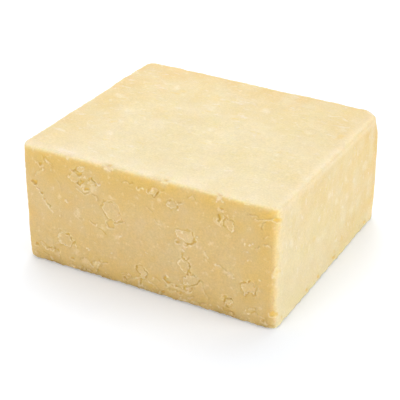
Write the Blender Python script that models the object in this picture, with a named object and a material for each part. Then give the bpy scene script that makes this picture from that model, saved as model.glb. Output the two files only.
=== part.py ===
"""Chunk of cheddar: one solid block, cut smooth above and at its right end, torn open on its other sides."""
import math
from dataclasses import dataclass

import bmesh
import bpy
import numpy as np

COLLECTION_NAME = "cheddar_chunk"
NODE_NAME = "cheddar_block"
MM = 0.001

# Block, in millimetres: X along the long front, Y from front to back, Z up from the floor.
LENGTH = 100.0
DEPTH = 88.6
HEIGHT = 44.9
HALF_LENGTH = LENGTH / 2.0
HALF_DEPTH = DEPTH / 2.0

# How far each corner sits from a true box: (x side, y side, z side) -> shift in X, Y and Z.
CORNER_SHIFTS = {
    (-1, -1, 0): (0.15, -0.15, 0.00),
    (1, -1, 0): (0.00, -0.45, 0.00),
    (1, 1, 0): (0.15, 0.60, 0.00),
    (-1, 1, 0): (0.00, 0.00, 0.00),
    (-1, -1, 1): (0.25, 0.40, 0.45),
    (1, -1, 1): (-0.20, 0.25, 0.50),
    (1, 1, 1): (0.00, -0.50, -1.05),
    (-1, 1, 1): (-0.05, -0.15, 0.05),
}

# Plan radius of the four upright edges: (x side, y side) -> radius at the foot, half way up and at the top.
UPRIGHT_RADII = {
    (-1, -1): (3.6, 2.8, 3.5),
    (1, -1): (2.9, 2.6, 3.0),
    (1, 1): (5.0, 3.8, 7.8),
    (-1, 1): (4.4, 3.8, 4.6),
}
UPRIGHT_END = 9.0
TOP_EDGE_IN = 2.3
TOP_EDGE_DOWN = 1.6
BOTTOM_EDGE_IN = 1.1
BOTTOM_EDGE_UP = 0.9
EDGE_RAGGED = 0.35
EDGE_RAGGED_CELL = 4.0

# Slow swell of the cut sides, and the finer lumps of the curd.
SWELL_DEPTH = 0.22
SWELL_CELL = 21.0
CURD_DEPTH = 0.07
CURD_CELL = 4.3
WAVE_START = 1.5
WAVE_FULL = 5.0

# Grid of the box before it is shaped.
GRID_STEP = 9.0
EDGE_LINES = (0.55, 1.3, 2.6)
TEAR_STEP = 1.1
HIDDEN_TEAR_STEP = 2.2
STEP_GROWTH = 1.2
OFF_SIDE_GROWTH = 2.0
WIDEST_STEP = 11.0
REFINE_ROUNDS = 40
NEAR_ZERO = 1e-9

FRONT, BACK, LEFT = "front", "back", "left"

SWELL_SEED = 11
CURD_SEED = 12
RAGGED_SEED = 13
HIDDEN_SEED = 15
NOISE_SIZE = 32

# Profile of a tear: how its outline wanders, and how steep its walls are.
LOBES = ((3, 0.09), (5, 0.06))
PHASE_ACROSS = 1.7
PHASE_UP = 2.3
GROOVE_WIDTH = 0.17
GROOVE_DEPTH = 0.60
GROOVE_SIDE = (0.45, 0.95)
PIT_WALL = (0.70, 1.15)
PLATE_WALL = (0.92, 1.10)
CRACK_TAPER = 0.65
RIM_MARGIN = 0.1
FACING_RANGE = (0.45, 0.90)
NICK_FACING_RANGE = (0.10, 0.50)

CHEESE_COLOUR = (0.84, 0.66, 0.33, 1.0)
CHEESE_ROUGHNESS = 0.55


def smooth_step(low, high, value):
    """Ease from 0 at low to 1 at high."""
    ratio = np.clip((value - low) / (high - low), 0.0, 1.0)
    return ratio * ratio * (3.0 - 2.0 * ratio)


@dataclass(frozen=True)
class Tear:
    """Oval tear with a lobed, ragged outline."""

    across: float
    up: float
    half_long: float
    half_short: float
    turn: float

    def ratio(self, across, up):
        """Distance from the middle of the tear, 1 on its outline, and the direction there."""
        angle = math.radians(self.turn)
        side = across - self.across
        rise = up - self.up
        along = (side * math.cos(angle) + rise * math.sin(angle)) / self.half_long
        over = (rise * math.cos(angle) - side * math.sin(angle)) / self.half_short
        bearing = np.arctan2(over, along)
        phase = self.across * PHASE_ACROSS + self.up * PHASE_UP
        swell = 1.0 + sum(size * np.sin(count * (bearing + phase)) for count, size in LOBES)
        return np.hypot(along, over) / swell, np.arctan2(rise, side)

    def gap(self, across, up):
        """Distance in millimetres from the tear's rim."""
        ratio, _ = self.ratio(across, up)
        return np.maximum(0.0, np.abs(ratio - 1.0) * (self.half_long + self.half_short) / 2.0 - RIM_MARGIN)


@dataclass(frozen=True)
class Flake(Tear):
    """Plate of curd that tips into the block at its opening and lips out on the far side."""

    opening: float
    dip: float = 0.65
    lip: float = 0.35

    def height(self, across, up):
        """Height of the plate and depth of the gap along its opening."""
        ratio, heading = self.ratio(across, up)
        toward = 0.5 + 0.5 * np.cos(heading - math.radians(self.opening)) * np.clip(ratio, 0.0, 1.0)
        plate = (self.lip - (self.lip + self.dip) * toward) * (1.0 - smooth_step(*PLATE_WALL, ratio))
        groove = np.exp(-(((ratio - 1.0) / GROOVE_WIDTH) ** 2)) * smooth_step(*GROOVE_SIDE, toward)
        return plate - GROOVE_DEPTH * groove


@dataclass(frozen=True)
class Pit(Tear):
    """Small hollow, steep at its rim."""

    depth: float

    def height(self, across, up):
        """Depth of the hollow."""
        ratio, _ = self.ratio(across, up)
        return -self.depth * (1.0 - smooth_step(*PIT_WALL, ratio))


@dataclass(frozen=True)
class Crack:
    """Shallow groove between two points of a side."""

    across: float
    up: float
    end_across: float
    end_up: float
    width: float
    depth: float

    def reach(self, across, up):
        """Distance from the crack's line, and the place along it from 0 to 1."""
        run = self.end_across - self.across
        rise = self.end_up - self.up
        share = ((across - self.across) * run + (up - self.up) * rise) / (run * run + rise * rise)
        held = np.clip(share, 0.0, 1.0)
        return np.hypot(across - self.across - run * held, up - self.up - rise * held), held

    def gap(self, across, up):
        """Distance in millimetres from the crack's lips."""
        return np.maximum(0.0, self.reach(across, up)[0] - self.width / 2.0)

    def height(self, across, up):
        """Depth of the crack, fading out at both ends."""
        away, share = self.reach(across, up)
        fade = 1.0 - CRACK_TAPER * np.cos(math.pi * share) ** 2
        return -self.depth * fade * np.exp(-((away / self.width) ** 2))


# Torn front: across is X, up is Z, turn and opening are degrees from +X towards +Z.
FRONT_FLAKES = (
    Flake(-13.2, 28.0, 4.9, 3.5, -42.0, 70.0, 0.85, 0.35),
    Flake(-27.4, 36.8, 2.3, 1.5, 10.0, 60.0, 0.60, 0.25),
    Flake(-21.7, 36.7, 2.6, 1.6, -10.0, 250.0),
    Flake(-25.4, 40.9, 1.9, 1.0, 5.0, 250.0, 0.40, 0.20),
    Flake(-32.4, 11.4, 4.6, 2.1, -35.0, 60.0, 0.55, 0.30),
    Flake(-39.2, 5.6, 1.7, 1.1, 0.0, 90.0),
    Flake(-20.3, 5.6, 1.8, 1.2, 30.0, 160.0),
    Flake(-1.3, 7.4, 2.3, 2.0, 60.0, 90.0, 0.60, 0.30),
    Flake(13.7, 26.4, 2.0, 1.8, 0.0, 40.0, 0.60, 0.35),
    Flake(17.3, 26.1, 2.2, 1.9, 90.0, 20.0, 0.65, 0.35),
    Flake(16.0, 14.8, 2.0, 1.7, 60.0, 0.0, 0.70, 0.30),
    Flake(18.0, 10.1, 3.5, 2.3, 15.0, -25.0, 0.70, 0.35),
    Flake(10.7, 36.5, 1.9, 1.6, 0.0, 60.0, 0.55, 0.25),
    Flake(32.2, 34.6, 2.1, 1.9, -30.0, 130.0, 0.55, 0.35),
    Flake(39.9, 13.5, 2.7, 2.3, 20.0, 60.0, 0.60, 0.30),
    Flake(32.5, 6.1, 2.0, 1.2, 0.0, 270.0, 0.50, 0.25),
)
FRONT_PITS = (
    Pit(-41.8, 38.9, 1.0, 0.9, 80.0, 0.80),
    Pit(-44.9, 31.1, 1.5, 0.9, 0.0, 0.90),
    Pit(-42.0, 27.6, 0.9, 0.6, 0.0, 0.60),
    Pit(-40.6, 25.3, 0.9, 0.6, -45.0, 0.60),
    Pit(-28.2, 40.1, 0.9, 0.9, 0.0, 0.60),
    Pit(-26.0, 38.6, 1.8, 1.1, -10.0, 0.95),
    Pit(-24.7, 36.1, 1.9, 0.8, 45.0, 0.75),
    Pit(-22.9, 33.8, 1.1, 0.7, -15.0, 0.60),
    Pit(-40.8, 6.3, 1.1, 0.8, 0.0, 0.70),
    Pit(-36.6, 6.3, 1.3, 0.9, -20.0, 0.80),
    Pit(-13.5, 22.6, 1.8, 1.6, 0.0, 0.70),
    Pit(-1.9, 3.1, 1.9, 0.8, 70.0, 0.70),
    Pit(7.8, 7.8, 1.7, 0.8, -45.0, 0.90),
    Pit(13.2, 23.3, 1.4, 1.0, 20.0, 0.65),
    Pit(17.1, 23.4, 1.4, 0.7, 10.0, 0.50),
    Pit(16.4, 18.2, 1.3, 1.1, 0.0, 0.55),
    Pit(15.8, 6.6, 1.2, 0.8, 60.0, 0.65),
    Pit(18.3, 6.1, 0.9, 0.8, 0.0, 0.60),
    Pit(28.4, 36.7, 1.6, 0.8, 90.0, 0.85),
    Pit(29.1, 39.6, 1.0, 0.8, 0.0, 0.60),
    Pit(30.8, 37.3, 1.2, 0.7, -30.0, 0.60),
    Pit(32.1, 3.1, 2.3, 1.1, 0.0, 0.55),
    Pit(48.7, 40.8, 1.7, 0.8, 0.0, 0.80),
    Pit(48.6, 6.3, 1.3, 1.2, 0.0, 0.60),
    Pit(3.0, 39.0, 1.9, 0.9, -10.0, 0.45),
    Pit(-1.4, 39.6, 1.2, 0.7, 0.0, 0.40),
)
FRONT_CRACKS = (
    Crack(-40.2, 24.5, -37.0, 20.6, 0.7, 0.40),
    Crack(-44.5, 33.9, -41.7, 36.7, 0.7, 0.35),
    Crack(-41.4, 41.7, -37.6, 39.8, 0.7, 0.35),
    Crack(-22.4, 21.5, -19.2, 20.3, 0.8, 0.35),
    Crack(8.9, 6.5, 15.4, 5.6, 0.8, 0.50),
    Crack(15.0, 21.5, 15.0, 18.4, 0.8, 0.45),
    Crack(21.2, 11.8, 24.3, 5.3, 0.8, 0.30),
    Crack(40.4, 40.4, 47.1, 40.5, 0.7, 0.40),
    Crack(27.3, 18.8, 34.4, 15.6, 0.8, 0.35),
)
# Nicks in the front top edge: position along X, half width, depth.
TOP_NICKS = ((-14.2, 1.3, 0.8), (7.6, 1.5, 0.8), (28.1, 1.2, 0.8), (-30.0, 1.0, 0.35), (38.3, 1.1, 0.35))
NICK_REACH = 1.8

# Tears on the sides out of sight, scattered by rule: how many flakes and pits, and their sizes.
HIDDEN_TEARS = ((BACK, 9, 8, HALF_LENGTH), (LEFT, 5, 5, HALF_DEPTH))
HIDDEN_MARGIN = 7.0
FLAKE_HALF_LONG = (1.8, 3.8)
FLAKE_NARROWING = (0.6, 0.9)
PIT_HALF_LONG = (0.9, 1.7)
PIT_NARROWING = (0.5, 0.9)
PIT_DEPTH = (0.45, 0.80)
TURN_RANGE = (0.0, 180.0)
OPENING_RANGE = (0.0, 150.0)


def clear_scene():
    """Remove whatever objects the new file starts with."""
    for thing in list(bpy.data.objects):
        bpy.data.objects.remove(thing, do_unlink=True)


def noise_table(seed):
    """Table of random heights between -1 and 1 that lattice_noise reads."""
    return np.random.default_rng(seed).random((NOISE_SIZE, NOISE_SIZE, NOISE_SIZE)) * 2.0 - 1.0


def lattice_noise(points, cell, table):
    """Smooth noise of the given cell size at every point."""
    scaled = points / cell
    base = np.floor(scaled).astype(int)
    part = scaled - base
    part = part * part * (3.0 - 2.0 * part)
    total = np.zeros(len(points))
    for i in (0, 1):
        for j in (0, 1):
            for k in (0, 1):
                weight = np.ones(len(points))
                for axis, step in enumerate((i, j, k)):
                    weight = weight * (part[:, axis] if step else 1.0 - part[:, axis])
                index = (base + (i, j, k)) % NOISE_SIZE
                total += weight * table[index[:, 0], index[:, 1], index[:, 2]]
    return total


def scattered_tears(half_width, flake_count, pit_count, draws):
    """Flakes and pits spread over a side out of sight."""
    reach = half_width - HIDDEN_MARGIN
    flakes = []
    pits = []
    for _ in range(flake_count):
        long = draws.uniform(*FLAKE_HALF_LONG)
        across = draws.uniform(-reach, reach)
        up = draws.uniform(HIDDEN_MARGIN, HEIGHT - HIDDEN_MARGIN)
        short = long * draws.uniform(*FLAKE_NARROWING)
        turn, opening = draws.uniform(*TURN_RANGE), draws.uniform(*OPENING_RANGE)
        flakes.append(Flake(across, up, long, short, turn, opening))
    for _ in range(pit_count):
        long = draws.uniform(*PIT_HALF_LONG)
        across = draws.uniform(-reach, reach)
        up = draws.uniform(HIDDEN_MARGIN, HEIGHT - HIDDEN_MARGIN)
        short = long * draws.uniform(*PIT_NARROWING)
        turn, depth = draws.uniform(*TURN_RANGE), draws.uniform(*PIT_DEPTH)
        pits.append(Pit(across, up, long, short, turn, depth))
    return flakes + pits


def all_tears():
    """Flakes, pits and cracks of every torn side."""
    draws = np.random.default_rng(HIDDEN_SEED)
    tears = {FRONT: FRONT_FLAKES + FRONT_PITS + FRONT_CRACKS}
    for side, flake_count, pit_count, half_width in HIDDEN_TEARS:
        tears[side] = scattered_tears(half_width, flake_count, pit_count, draws)
    return tears


def side_position(points, side):
    """Place of every point along a side: distance across it and height up it."""
    across = points[:, 1] if side == LEFT else points[:, 0]
    return across, points[:, 2]


def side_facing(normals, side):
    """How squarely every normal faces out of a side."""
    if side == LEFT:
        facing = -normals[:, 0]
    else:
        facing = -normals[:, 1] if side == FRONT else normals[:, 1]
    return smooth_step(*FACING_RANGE, facing)


def tear_relief(points, normals, tears):
    """Height of all the tears at every point, along its normal."""
    total = np.zeros(len(points))
    for side, side_tears in tears.items():
        across, up = side_position(points, side)
        total += sum(tear.height(across, up) for tear in side_tears) * side_facing(normals, side)
    return total


def nick_relief(points, normals):
    """Depth of the nicks in the front top edge."""
    gap_in = points[:, 1] + HALF_DEPTH
    gap_down = HEIGHT - points[:, 2]
    near_edge = np.exp(-((np.hypot(gap_in, gap_down) / NICK_REACH) ** 2))
    total = np.zeros(len(points))
    for place, half_width, depth in TOP_NICKS:
        total -= depth * np.exp(-(((points[:, 0] - place) / half_width) ** 2)) * near_edge
    return total * smooth_step(*NICK_FACING_RANGE, np.maximum(-normals[:, 1], normals[:, 2]))


def upright_radius(points):
    """Plan radius of the upright edge in each point's quarter of the block."""
    at_foot = 1.0 - smooth_step(0.0, UPRIGHT_END, points[:, 2])
    at_top = 1.0 - smooth_step(0.0, UPRIGHT_END, HEIGHT - points[:, 2])
    radii = np.zeros(len(points))
    for (x_side, y_side), (foot, middle, top) in UPRIGHT_RADII.items():
        mine = ((points[:, 0] >= 0) == (x_side > 0)) & ((points[:, 1] >= 0) == (y_side > 0))
        radii[mine] = (middle + (foot - middle) * at_foot + (top - middle) * at_top)[mine]
    return radii


def round_edges(points):
    """Round the box's edges and give the outward normal at every point."""
    radius = upright_radius(points)
    reach = np.stack([HALF_LENGTH - radius, HALF_DEPTH - radius], axis=1)
    core = np.clip(points[:, :2], -reach, reach)
    out = points[:, :2] - core
    far = np.abs(out).max(axis=1)
    length = np.maximum(np.hypot(out[:, 0], out[:, 1]), NEAR_ZERO)
    heading = out / length[:, None]
    inset = radius - far

    ragged = 1.0 + EDGE_RAGGED * lattice_noise(points, EDGE_RAGGED_CELL, noise_table(RAGGED_SEED))
    side_part = np.ones(len(points))
    top_part = np.zeros(len(points))
    height = points[:, 2].copy()
    edges = ((TOP_EDGE_IN, TOP_EDGE_DOWN, 1.0), (BOTTOM_EDGE_IN, BOTTOM_EDGE_UP, -1.0))
    new_inset = inset.copy()
    for edge_in, edge_along, way in edges:
        wide = edge_in * ragged
        tall = edge_along * ragged
        gap = HEIGHT - points[:, 2] if way > 0 else points[:, 2]
        on_flat = gap < NEAR_ZERO
        side_part[on_flat] = 0.0
        top_part[on_flat] = way
        near = (inset < wide) & (gap < tall)
        reach_in = (wide - inset) / wide
        reach_along = (tall - gap) / tall
        size = np.maximum(np.hypot(reach_in, reach_along), NEAR_ZERO)
        share_in, share_along = reach_in / size, reach_along / size
        new_inset = np.where(near, wide * (1.0 - share_in), new_inset)
        new_gap = tall * (1.0 - share_along)
        height = np.where(near, HEIGHT - new_gap if way > 0 else new_gap, height)
        side_part = np.where(near, share_in, side_part)
        top_part = np.where(near, way * share_along, top_part)

    moved = far > NEAR_ZERO
    plan = np.where(moved[:, None], core + heading * (radius - new_inset)[:, None], points[:, :2])
    rounded = np.column_stack([plan, height])
    normals = np.column_stack([heading * side_part[:, None], top_part])
    size = np.maximum(np.linalg.norm(normals, axis=1), NEAR_ZERO)
    return rounded, normals / size[:, None]


def lean(points):
    """Shift every point by the shifts of the eight corners around it."""
    share_x = points[:, 0] / LENGTH + 0.5
    share_y = points[:, 1] / DEPTH + 0.5
    share_z = points[:, 2] / HEIGHT
    shift = np.zeros_like(points)
    for (x_side, y_side, z_side), move in CORNER_SHIFTS.items():
        weight_x = share_x if x_side > 0 else 1.0 - share_x
        weight_y = share_y if y_side > 0 else 1.0 - share_y
        weight_z = share_z if z_side > 0 else 1.0 - share_z
        shift += (weight_x * weight_y * weight_z)[:, None] * np.array(move)
    return points + shift


def shape_block(points, tears):
    """Take points of the plain box to the finished surface."""
    rounded, normals = round_edges(points)
    swell = SWELL_DEPTH * lattice_noise(rounded, SWELL_CELL, noise_table(SWELL_SEED))
    swell += CURD_DEPTH * lattice_noise(rounded, CURD_CELL, noise_table(CURD_SEED))
    clear_of_floor = smooth_step(WAVE_START, WAVE_FULL, rounded[:, 2])
    height = swell * clear_of_floor
    height += tear_relief(rounded, normals, tears) + nick_relief(rounded, normals)
    held = smooth_step(0.0, WAVE_START, rounded[:, 2])
    return lean(rounded + normals * (height * held)[:, None])


def grid_lines(low, high, edge_lines):
    """Places of the cuts across the box between two of its faces."""
    inner_low = low + edge_lines[-1]
    inner_high = high - edge_lines[-1]
    steps = max(1, round((inner_high - inner_low) / GRID_STEP))
    inner = [inner_low + (inner_high - inner_low) * i / steps for i in range(steps + 1)]
    outer = [low + gap for gap in edge_lines[:-1]] + [high - gap for gap in edge_lines[:-1]]
    return sorted(inner + outer)


def make_box():
    """Box with its bottom on the floor, cut into a grid of triangles."""
    shape = bmesh.new()
    bmesh.ops.create_cube(shape, size=1.0)
    bmesh.ops.scale(shape, vec=(LENGTH, DEPTH, HEIGHT), verts=shape.verts)
    bmesh.ops.translate(shape, vec=(0.0, 0.0, HEIGHT / 2.0), verts=shape.verts)
    spans = ((-HALF_LENGTH, HALF_LENGTH), (-HALF_DEPTH, HALF_DEPTH), (0.0, HEIGHT))
    for axis, (low, high) in enumerate(spans):
        for place in grid_lines(low, high, EDGE_LINES):
            middle = [0.0, 0.0, 0.0]
            middle[axis] = place
            direction = [0.0, 0.0, 0.0]
            direction[axis] = 1.0
            geometry = shape.verts[:] + shape.edges[:] + shape.faces[:]
            bmesh.ops.bisect_plane(shape, geom=geometry, dist=NEAR_ZERO, plane_co=middle, plane_no=direction)
    bmesh.ops.triangulate(shape, faces=shape.faces[:])
    return shape


def wanted_steps(places, tears):
    """Longest edge wanted at each place of the plain box."""
    wanted = np.full(len(places), WIDEST_STEP)
    offsets = {
        FRONT: places[:, 1] + HALF_DEPTH,
        BACK: HALF_DEPTH - places[:, 1],
        LEFT: places[:, 0] + HALF_LENGTH,
    }
    for side, side_tears in tears.items():
        across, up = side_position(places, side)
        fine = TEAR_STEP if side == FRONT else HIDDEN_TEAR_STEP
        gap = np.min([tear.gap(across, up) for tear in side_tears], axis=0)
        step = fine + STEP_GROWTH * (gap + OFF_SIDE_GROWTH * offsets[side])
        wanted = np.minimum(wanted, step)
    for place, half_width, _ in TOP_NICKS:
        gap = np.maximum(0.0, np.abs(places[:, 0] - place) - 2.0 * half_width)
        gap += np.maximum(0.0, places[:, 1] + HALF_DEPTH - NICK_REACH)
        gap += np.maximum(0.0, HEIGHT - NICK_REACH - places[:, 2])
        wanted = np.minimum(wanted, TEAR_STEP + STEP_GROWTH * gap)
    return wanted


def edge_order(edge):
    """Rank edges by length, and equal ones by index."""
    return round(edge.calc_length(), 5), edge.index


def refine(shape, tears):
    """Split the longest edges until the triangles near every tear are fine enough."""
    for _ in range(REFINE_ROUNDS):
        shape.faces.ensure_lookup_table()
        middles = np.array([face.calc_center_median()[:] for face in shape.faces])
        wanted = wanted_steps(middles, tears)
        longest = [max(face.edges, key=edge_order) for face in shape.faces]
        chosen = {}
        for face, edge, step in zip(shape.faces, longest, wanted):
            if edge.calc_length() <= step:
                continue
            current = face
            while True:
                edge = longest[current.index]
                other = [near for near in edge.link_faces if near is not current][0]
                if longest[other.index] is edge:
                    break
                current = other
            chosen[edge.index] = edge
        if not chosen:
            break
        bmesh.ops.subdivide_edges(shape, edges=list(chosen.values()), cuts=1, use_single_edge=True)
        shape.verts.index_update()
        shape.edges.index_update()
        shape.faces.index_update()


def flatten_base(shape):
    """Join the finished faces that rest on the floor into one flat face."""
    resting = [face for face in shape.faces if all(abs(vert.co.z) < NEAR_ZERO for vert in face.verts)]
    bmesh.ops.dissolve_faces(shape, faces=resting, use_verts=False)
    bmesh.ops.triangulate(shape, faces=[face for face in shape.faces if len(face.verts) > 3])


def cheese_material():
    """Pale yellow cheese."""
    material = bpy.data.materials.new("cheddar")
    material.use_nodes = True
    shader = material.node_tree.nodes["Principled BSDF"]
    shader.inputs["Base Color"].default_value = CHEESE_COLOUR
    shader.inputs["Roughness"].default_value = CHEESE_ROUGHNESS
    return material


def build_block(collection):
    """Shape the block and link it to its collection."""
    tears = all_tears()
    shape = make_box()
    refine(shape, tears)
    points = np.array([vert.co[:] for vert in shape.verts])
    finished = shape_block(points, tears) * MM
    for vert, place in zip(shape.verts, finished):
        vert.co = place
    flatten_base(shape)
    bmesh.ops.recalc_face_normals(shape, faces=shape.faces)
    mesh = bpy.data.meshes.new(NODE_NAME)
    shape.to_mesh(mesh)
    shape.free()
    mesh.materials.append(cheese_material())
    block = bpy.data.objects.new(NODE_NAME, mesh)
    collection.objects.link(block)
    return block


def main():
    """Build the chunk."""
    clear_scene()
    collection = bpy.data.collections.new(COLLECTION_NAME)
    bpy.context.scene.collection.children.link(collection)
    build_block(collection)


main()
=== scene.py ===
"""Visual model of a chunk of cheddar: a block cut smooth above and at one end, torn and crumbly elsewhere."""
import logging
import math
from dataclasses import dataclass, fields, replace
from enum import Enum
from typing import Self

import bpy
import numpy as np
import numpy.typing as npt
from mathutils import Euler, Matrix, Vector


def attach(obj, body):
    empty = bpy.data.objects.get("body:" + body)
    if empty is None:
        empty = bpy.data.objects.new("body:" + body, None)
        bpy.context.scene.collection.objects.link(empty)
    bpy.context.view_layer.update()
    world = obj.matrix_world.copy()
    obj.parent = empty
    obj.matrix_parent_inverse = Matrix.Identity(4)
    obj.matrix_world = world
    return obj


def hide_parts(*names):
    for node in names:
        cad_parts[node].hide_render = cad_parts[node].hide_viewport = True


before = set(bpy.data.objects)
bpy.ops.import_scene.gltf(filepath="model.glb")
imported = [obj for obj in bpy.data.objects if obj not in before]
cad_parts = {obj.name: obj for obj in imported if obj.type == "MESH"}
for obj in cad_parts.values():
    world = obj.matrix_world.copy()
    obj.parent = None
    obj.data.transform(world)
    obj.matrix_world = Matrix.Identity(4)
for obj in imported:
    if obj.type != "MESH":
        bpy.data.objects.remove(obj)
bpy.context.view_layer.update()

LOG = logging.getLogger("cheddar")
Array = npt.NDArray[np.float64]
Numbers = npt.NDArray[np.int64]
Place = tuple[float, float]
Colour = tuple[float, float, float]
# From, to, and what each becomes.
Ease = tuple[float, float, float, float]
Socket = bpy.types.NodeSocket

NODE_NAME = "cheddar_block"
BODY_NAME = "root"
MM = 0.001
NEAR_ZERO = 1e-9
WHITE = (1.0, 1.0, 1.0)
MID_GREY = (0.5, 0.5, 0.5)

# Block, in millimetres: X along the long front, Y from front to back, Z up from the floor.
LENGTH = 100.0
DEPTH = 88.6
HEIGHT = 44.9
HALF_LENGTH = LENGTH / 2.0
HALF_DEPTH = DEPTH / 2.0


class Side(Enum):
    """The six sides of the block, each with the axis and the way that it faces."""

    FRONT = (1, -1.0)
    BACK = (1, 1.0)
    LEFT = (0, -1.0)
    RIGHT = (0, 1.0)
    TOP = (2, 1.0)
    BASE = (2, -1.0)

    @property
    def axis(self) -> int:
        """Axis that the side faces along."""
        return self.value[0]

    @property
    def way(self) -> float:
        """1 where the side faces up its axis, -1 where it faces down it."""
        return self.value[1]


TORN_SIDES = (Side.FRONT, Side.BACK, Side.LEFT)


def smooth_step(low: float, high: float, value: Array) -> Array:
    """Ease from 0 to 1.

    Args:
        low: Value that gives 0.
        high: Value that gives 1.
        value: Values to ease.

    Returns:
        The eased share at every value.
    """
    ratio = np.clip((value - low) / (high - low), 0.0, 1.0)
    return ratio * ratio * (3.0 - 2.0 * ratio)


@dataclass(frozen=True)
class LatticeNoise:
    """Smooth noise between -1 and 1 on a lattice of random heights."""

    seed: int
    cell: float
    size: int = 32

    def at(self, points: Array) -> Array:
        """Noise at every point.

        Args:
            points: Places in millimetres, one row each.

        Returns:
            One value for each row.
        """
        table = np.random.default_rng(self.seed).random((self.size,) * 3) * 2.0 - 1.0
        scaled = points / self.cell
        base = np.floor(scaled).astype(int)
        part = scaled - base
        part = part * part * (3.0 - 2.0 * part)
        total = np.zeros(len(points))
        for i in (0, 1):
            for j in (0, 1):
                for k in (0, 1):
                    weight = np.ones(len(points))
                    for axis, step in enumerate((i, j, k)):
                        weight = weight * (part[:, axis] if step else 1.0 - part[:, axis])
                    index = (base + (i, j, k)) % self.size
                    total += weight * table[index[:, 0], index[:, 1], index[:, 2]]
        return total


def stretch_gaps(places: Array, start: Array, end: Array) -> tuple[Array, Array]:
    """Distance of every place from a straight stretch, and on which side of it the place lies.

    Args:
        places: Places on a side, across and up.
        start: One end of the stretch.
        end: Its other end.

    Returns:
        The distances, and 1 for places above the stretch or -1 for those below it.
    """
    run, rise = end - start
    off_across, off_up = places[:, 0] - start[0], places[:, 1] - start[1]
    share = np.clip((off_across * run + off_up * rise) / (run * run + rise * rise), 0.0, 1.0)
    gaps = np.hypot(off_across - run * share, off_up - rise * share)
    return gaps, np.sign(off_up * run - off_across * rise)


@dataclass
class Spots:
    """Places on a side, and how the curd crumbles there."""

    # Across and up, one row each, in millimetres.
    places: Array
    # Between -1 and 1, over distances under a millimetre.
    fray: Array
    # Between 0, where a crack or rim is broken off, and 1, where it is whole.
    whole: Array

    def take(self, chosen: Numbers) -> "Spots":
        """Some of the places."""
        return Spots(self.places[chosen], self.fray[chosen], self.whole[chosen])


@dataclass
class Mark:
    """What a tear does at every point of a side: the height that it adds in millimetres, and four shares."""

    height: Array
    gold: Array
    pale: Array
    crumbs: Array
    # Share of painted shade in gaps, creases and pit walls.
    painted_shade: Array

    @classmethod
    def blank(cls, count: int) -> Self:
        """A mark that changes nothing at this many points."""
        return cls(*(np.zeros(count) for _ in fields(cls)))

    def add(self, chosen: Numbers, other: Self) -> None:
        """Lay another mark over this one: heights add up, and of two shares the larger stays.

        Args:
            chosen: Which points the other mark covers.
            other: The mark at those points.
        """
        self.height[chosen] += other.height
        for share in fields(self)[1:]:
            mine = getattr(self, share.name)
            mine[chosen] = np.maximum(mine[chosen], getattr(other, share.name))

    def weighted(self, weight: Array) -> Self:
        """This mark, weakened by a factor at every point."""
        return Mark(*(getattr(self, part.name) * weight for part in fields(self)))


@dataclass(frozen=True)
class Tear:
    """Something torn into or standing out of a side, within an outline."""

    CORNERS = 14
    # Lobes of an oval's edge: how many, and how far they swell.
    LOBES = ((3, 0.09), (5, 0.06))
    PHASE_ACROSS = 1.7
    PHASE_UP = 2.3

    outline: tuple[Place, ...]

    @classmethod
    def oval(cls, across: float, up: float, half_long: float, half_short: float, turn: float,
             *traits: float) -> Self:
        """A tear whose outline is an oval with a slightly lobed edge.

        Args:
            across: Place of its middle across the side.
            up: Place of its middle up the side.
            half_long: Half its length.
            half_short: Half its width.
            turn: Turn of its length in degrees.
            traits: Its other fields, in their order.

        Returns:
            The tear.
        """
        angle = math.radians(turn)
        phase = across * cls.PHASE_ACROSS + up * cls.PHASE_UP
        corners = []
        for step in range(cls.CORNERS):
            bearing = math.tau * step / cls.CORNERS
            swell = 1.0 + sum(size * math.sin(count * (bearing + phase)) for count, size in cls.LOBES)
            along = half_long * swell * math.cos(bearing)
            over = half_short * swell * math.sin(bearing)
            side = along * math.cos(angle) - over * math.sin(angle)
            rise = along * math.sin(angle) + over * math.cos(angle)
            corners.append((across + side, up + rise))
        return cls(tuple(corners), *traits)

    @property
    def middle(self) -> Array:
        """Mean of the outline's corners."""
        return np.mean(np.array(self.outline), axis=0)

    @property
    def span(self) -> float:
        """Distance from the middle to the farthest corner."""
        return float(np.linalg.norm(np.array(self.outline) - self.middle, axis=1).max())

    def close_to(self, places: Array, margin: float) -> Numbers:
        """Numbers of the places within a margin of the circle round the outline."""
        return np.flatnonzero(np.linalg.norm(places - self.middle, axis=1) < self.span + margin)

    def distance(self, places: Array) -> Array:
        """Distance from the outline.

        Args:
            places: Places on the side, across and up.

        Returns:
            Millimetres from the outline, negative inside it.
        """
        corners = np.array(self.outline)
        across, up = places[:, 0], places[:, 1]
        nearest = np.full(len(places), np.inf)
        inside = np.zeros(len(places), bool)
        for start, end in zip(corners, np.roll(corners, -1, axis=0)):
            nearest = np.minimum(nearest, stretch_gaps(places, start, end)[0])
            run, rise = end - start
            slope = run / (rise if abs(rise) > NEAR_ZERO else NEAR_ZERO)
            inside ^= ((start[1] > up) != (end[1] > up)) & (across < start[0] + slope * (up - start[1]))
        return np.where(inside, -nearest, nearest)

    def toward(self, places: Array, bearing: float) -> Array:
        """How much each place lies to one side of the middle.

        Args:
            places: Places on the side, across and up.
            bearing: The side meant, in degrees from across towards up.

        Returns:
            From 0 on the far side to 1 on the side meant.
        """
        offset = places - self.middle
        heading = np.arctan2(offset[:, 1], offset[:, 0])
        return 0.5 + 0.5 * np.cos(heading - math.radians(bearing))

    def mark(self, spots: Spots) -> Mark:
        """What the tear does at every spot, which each kind of tear works out."""
        raise NotImplementedError


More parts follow.
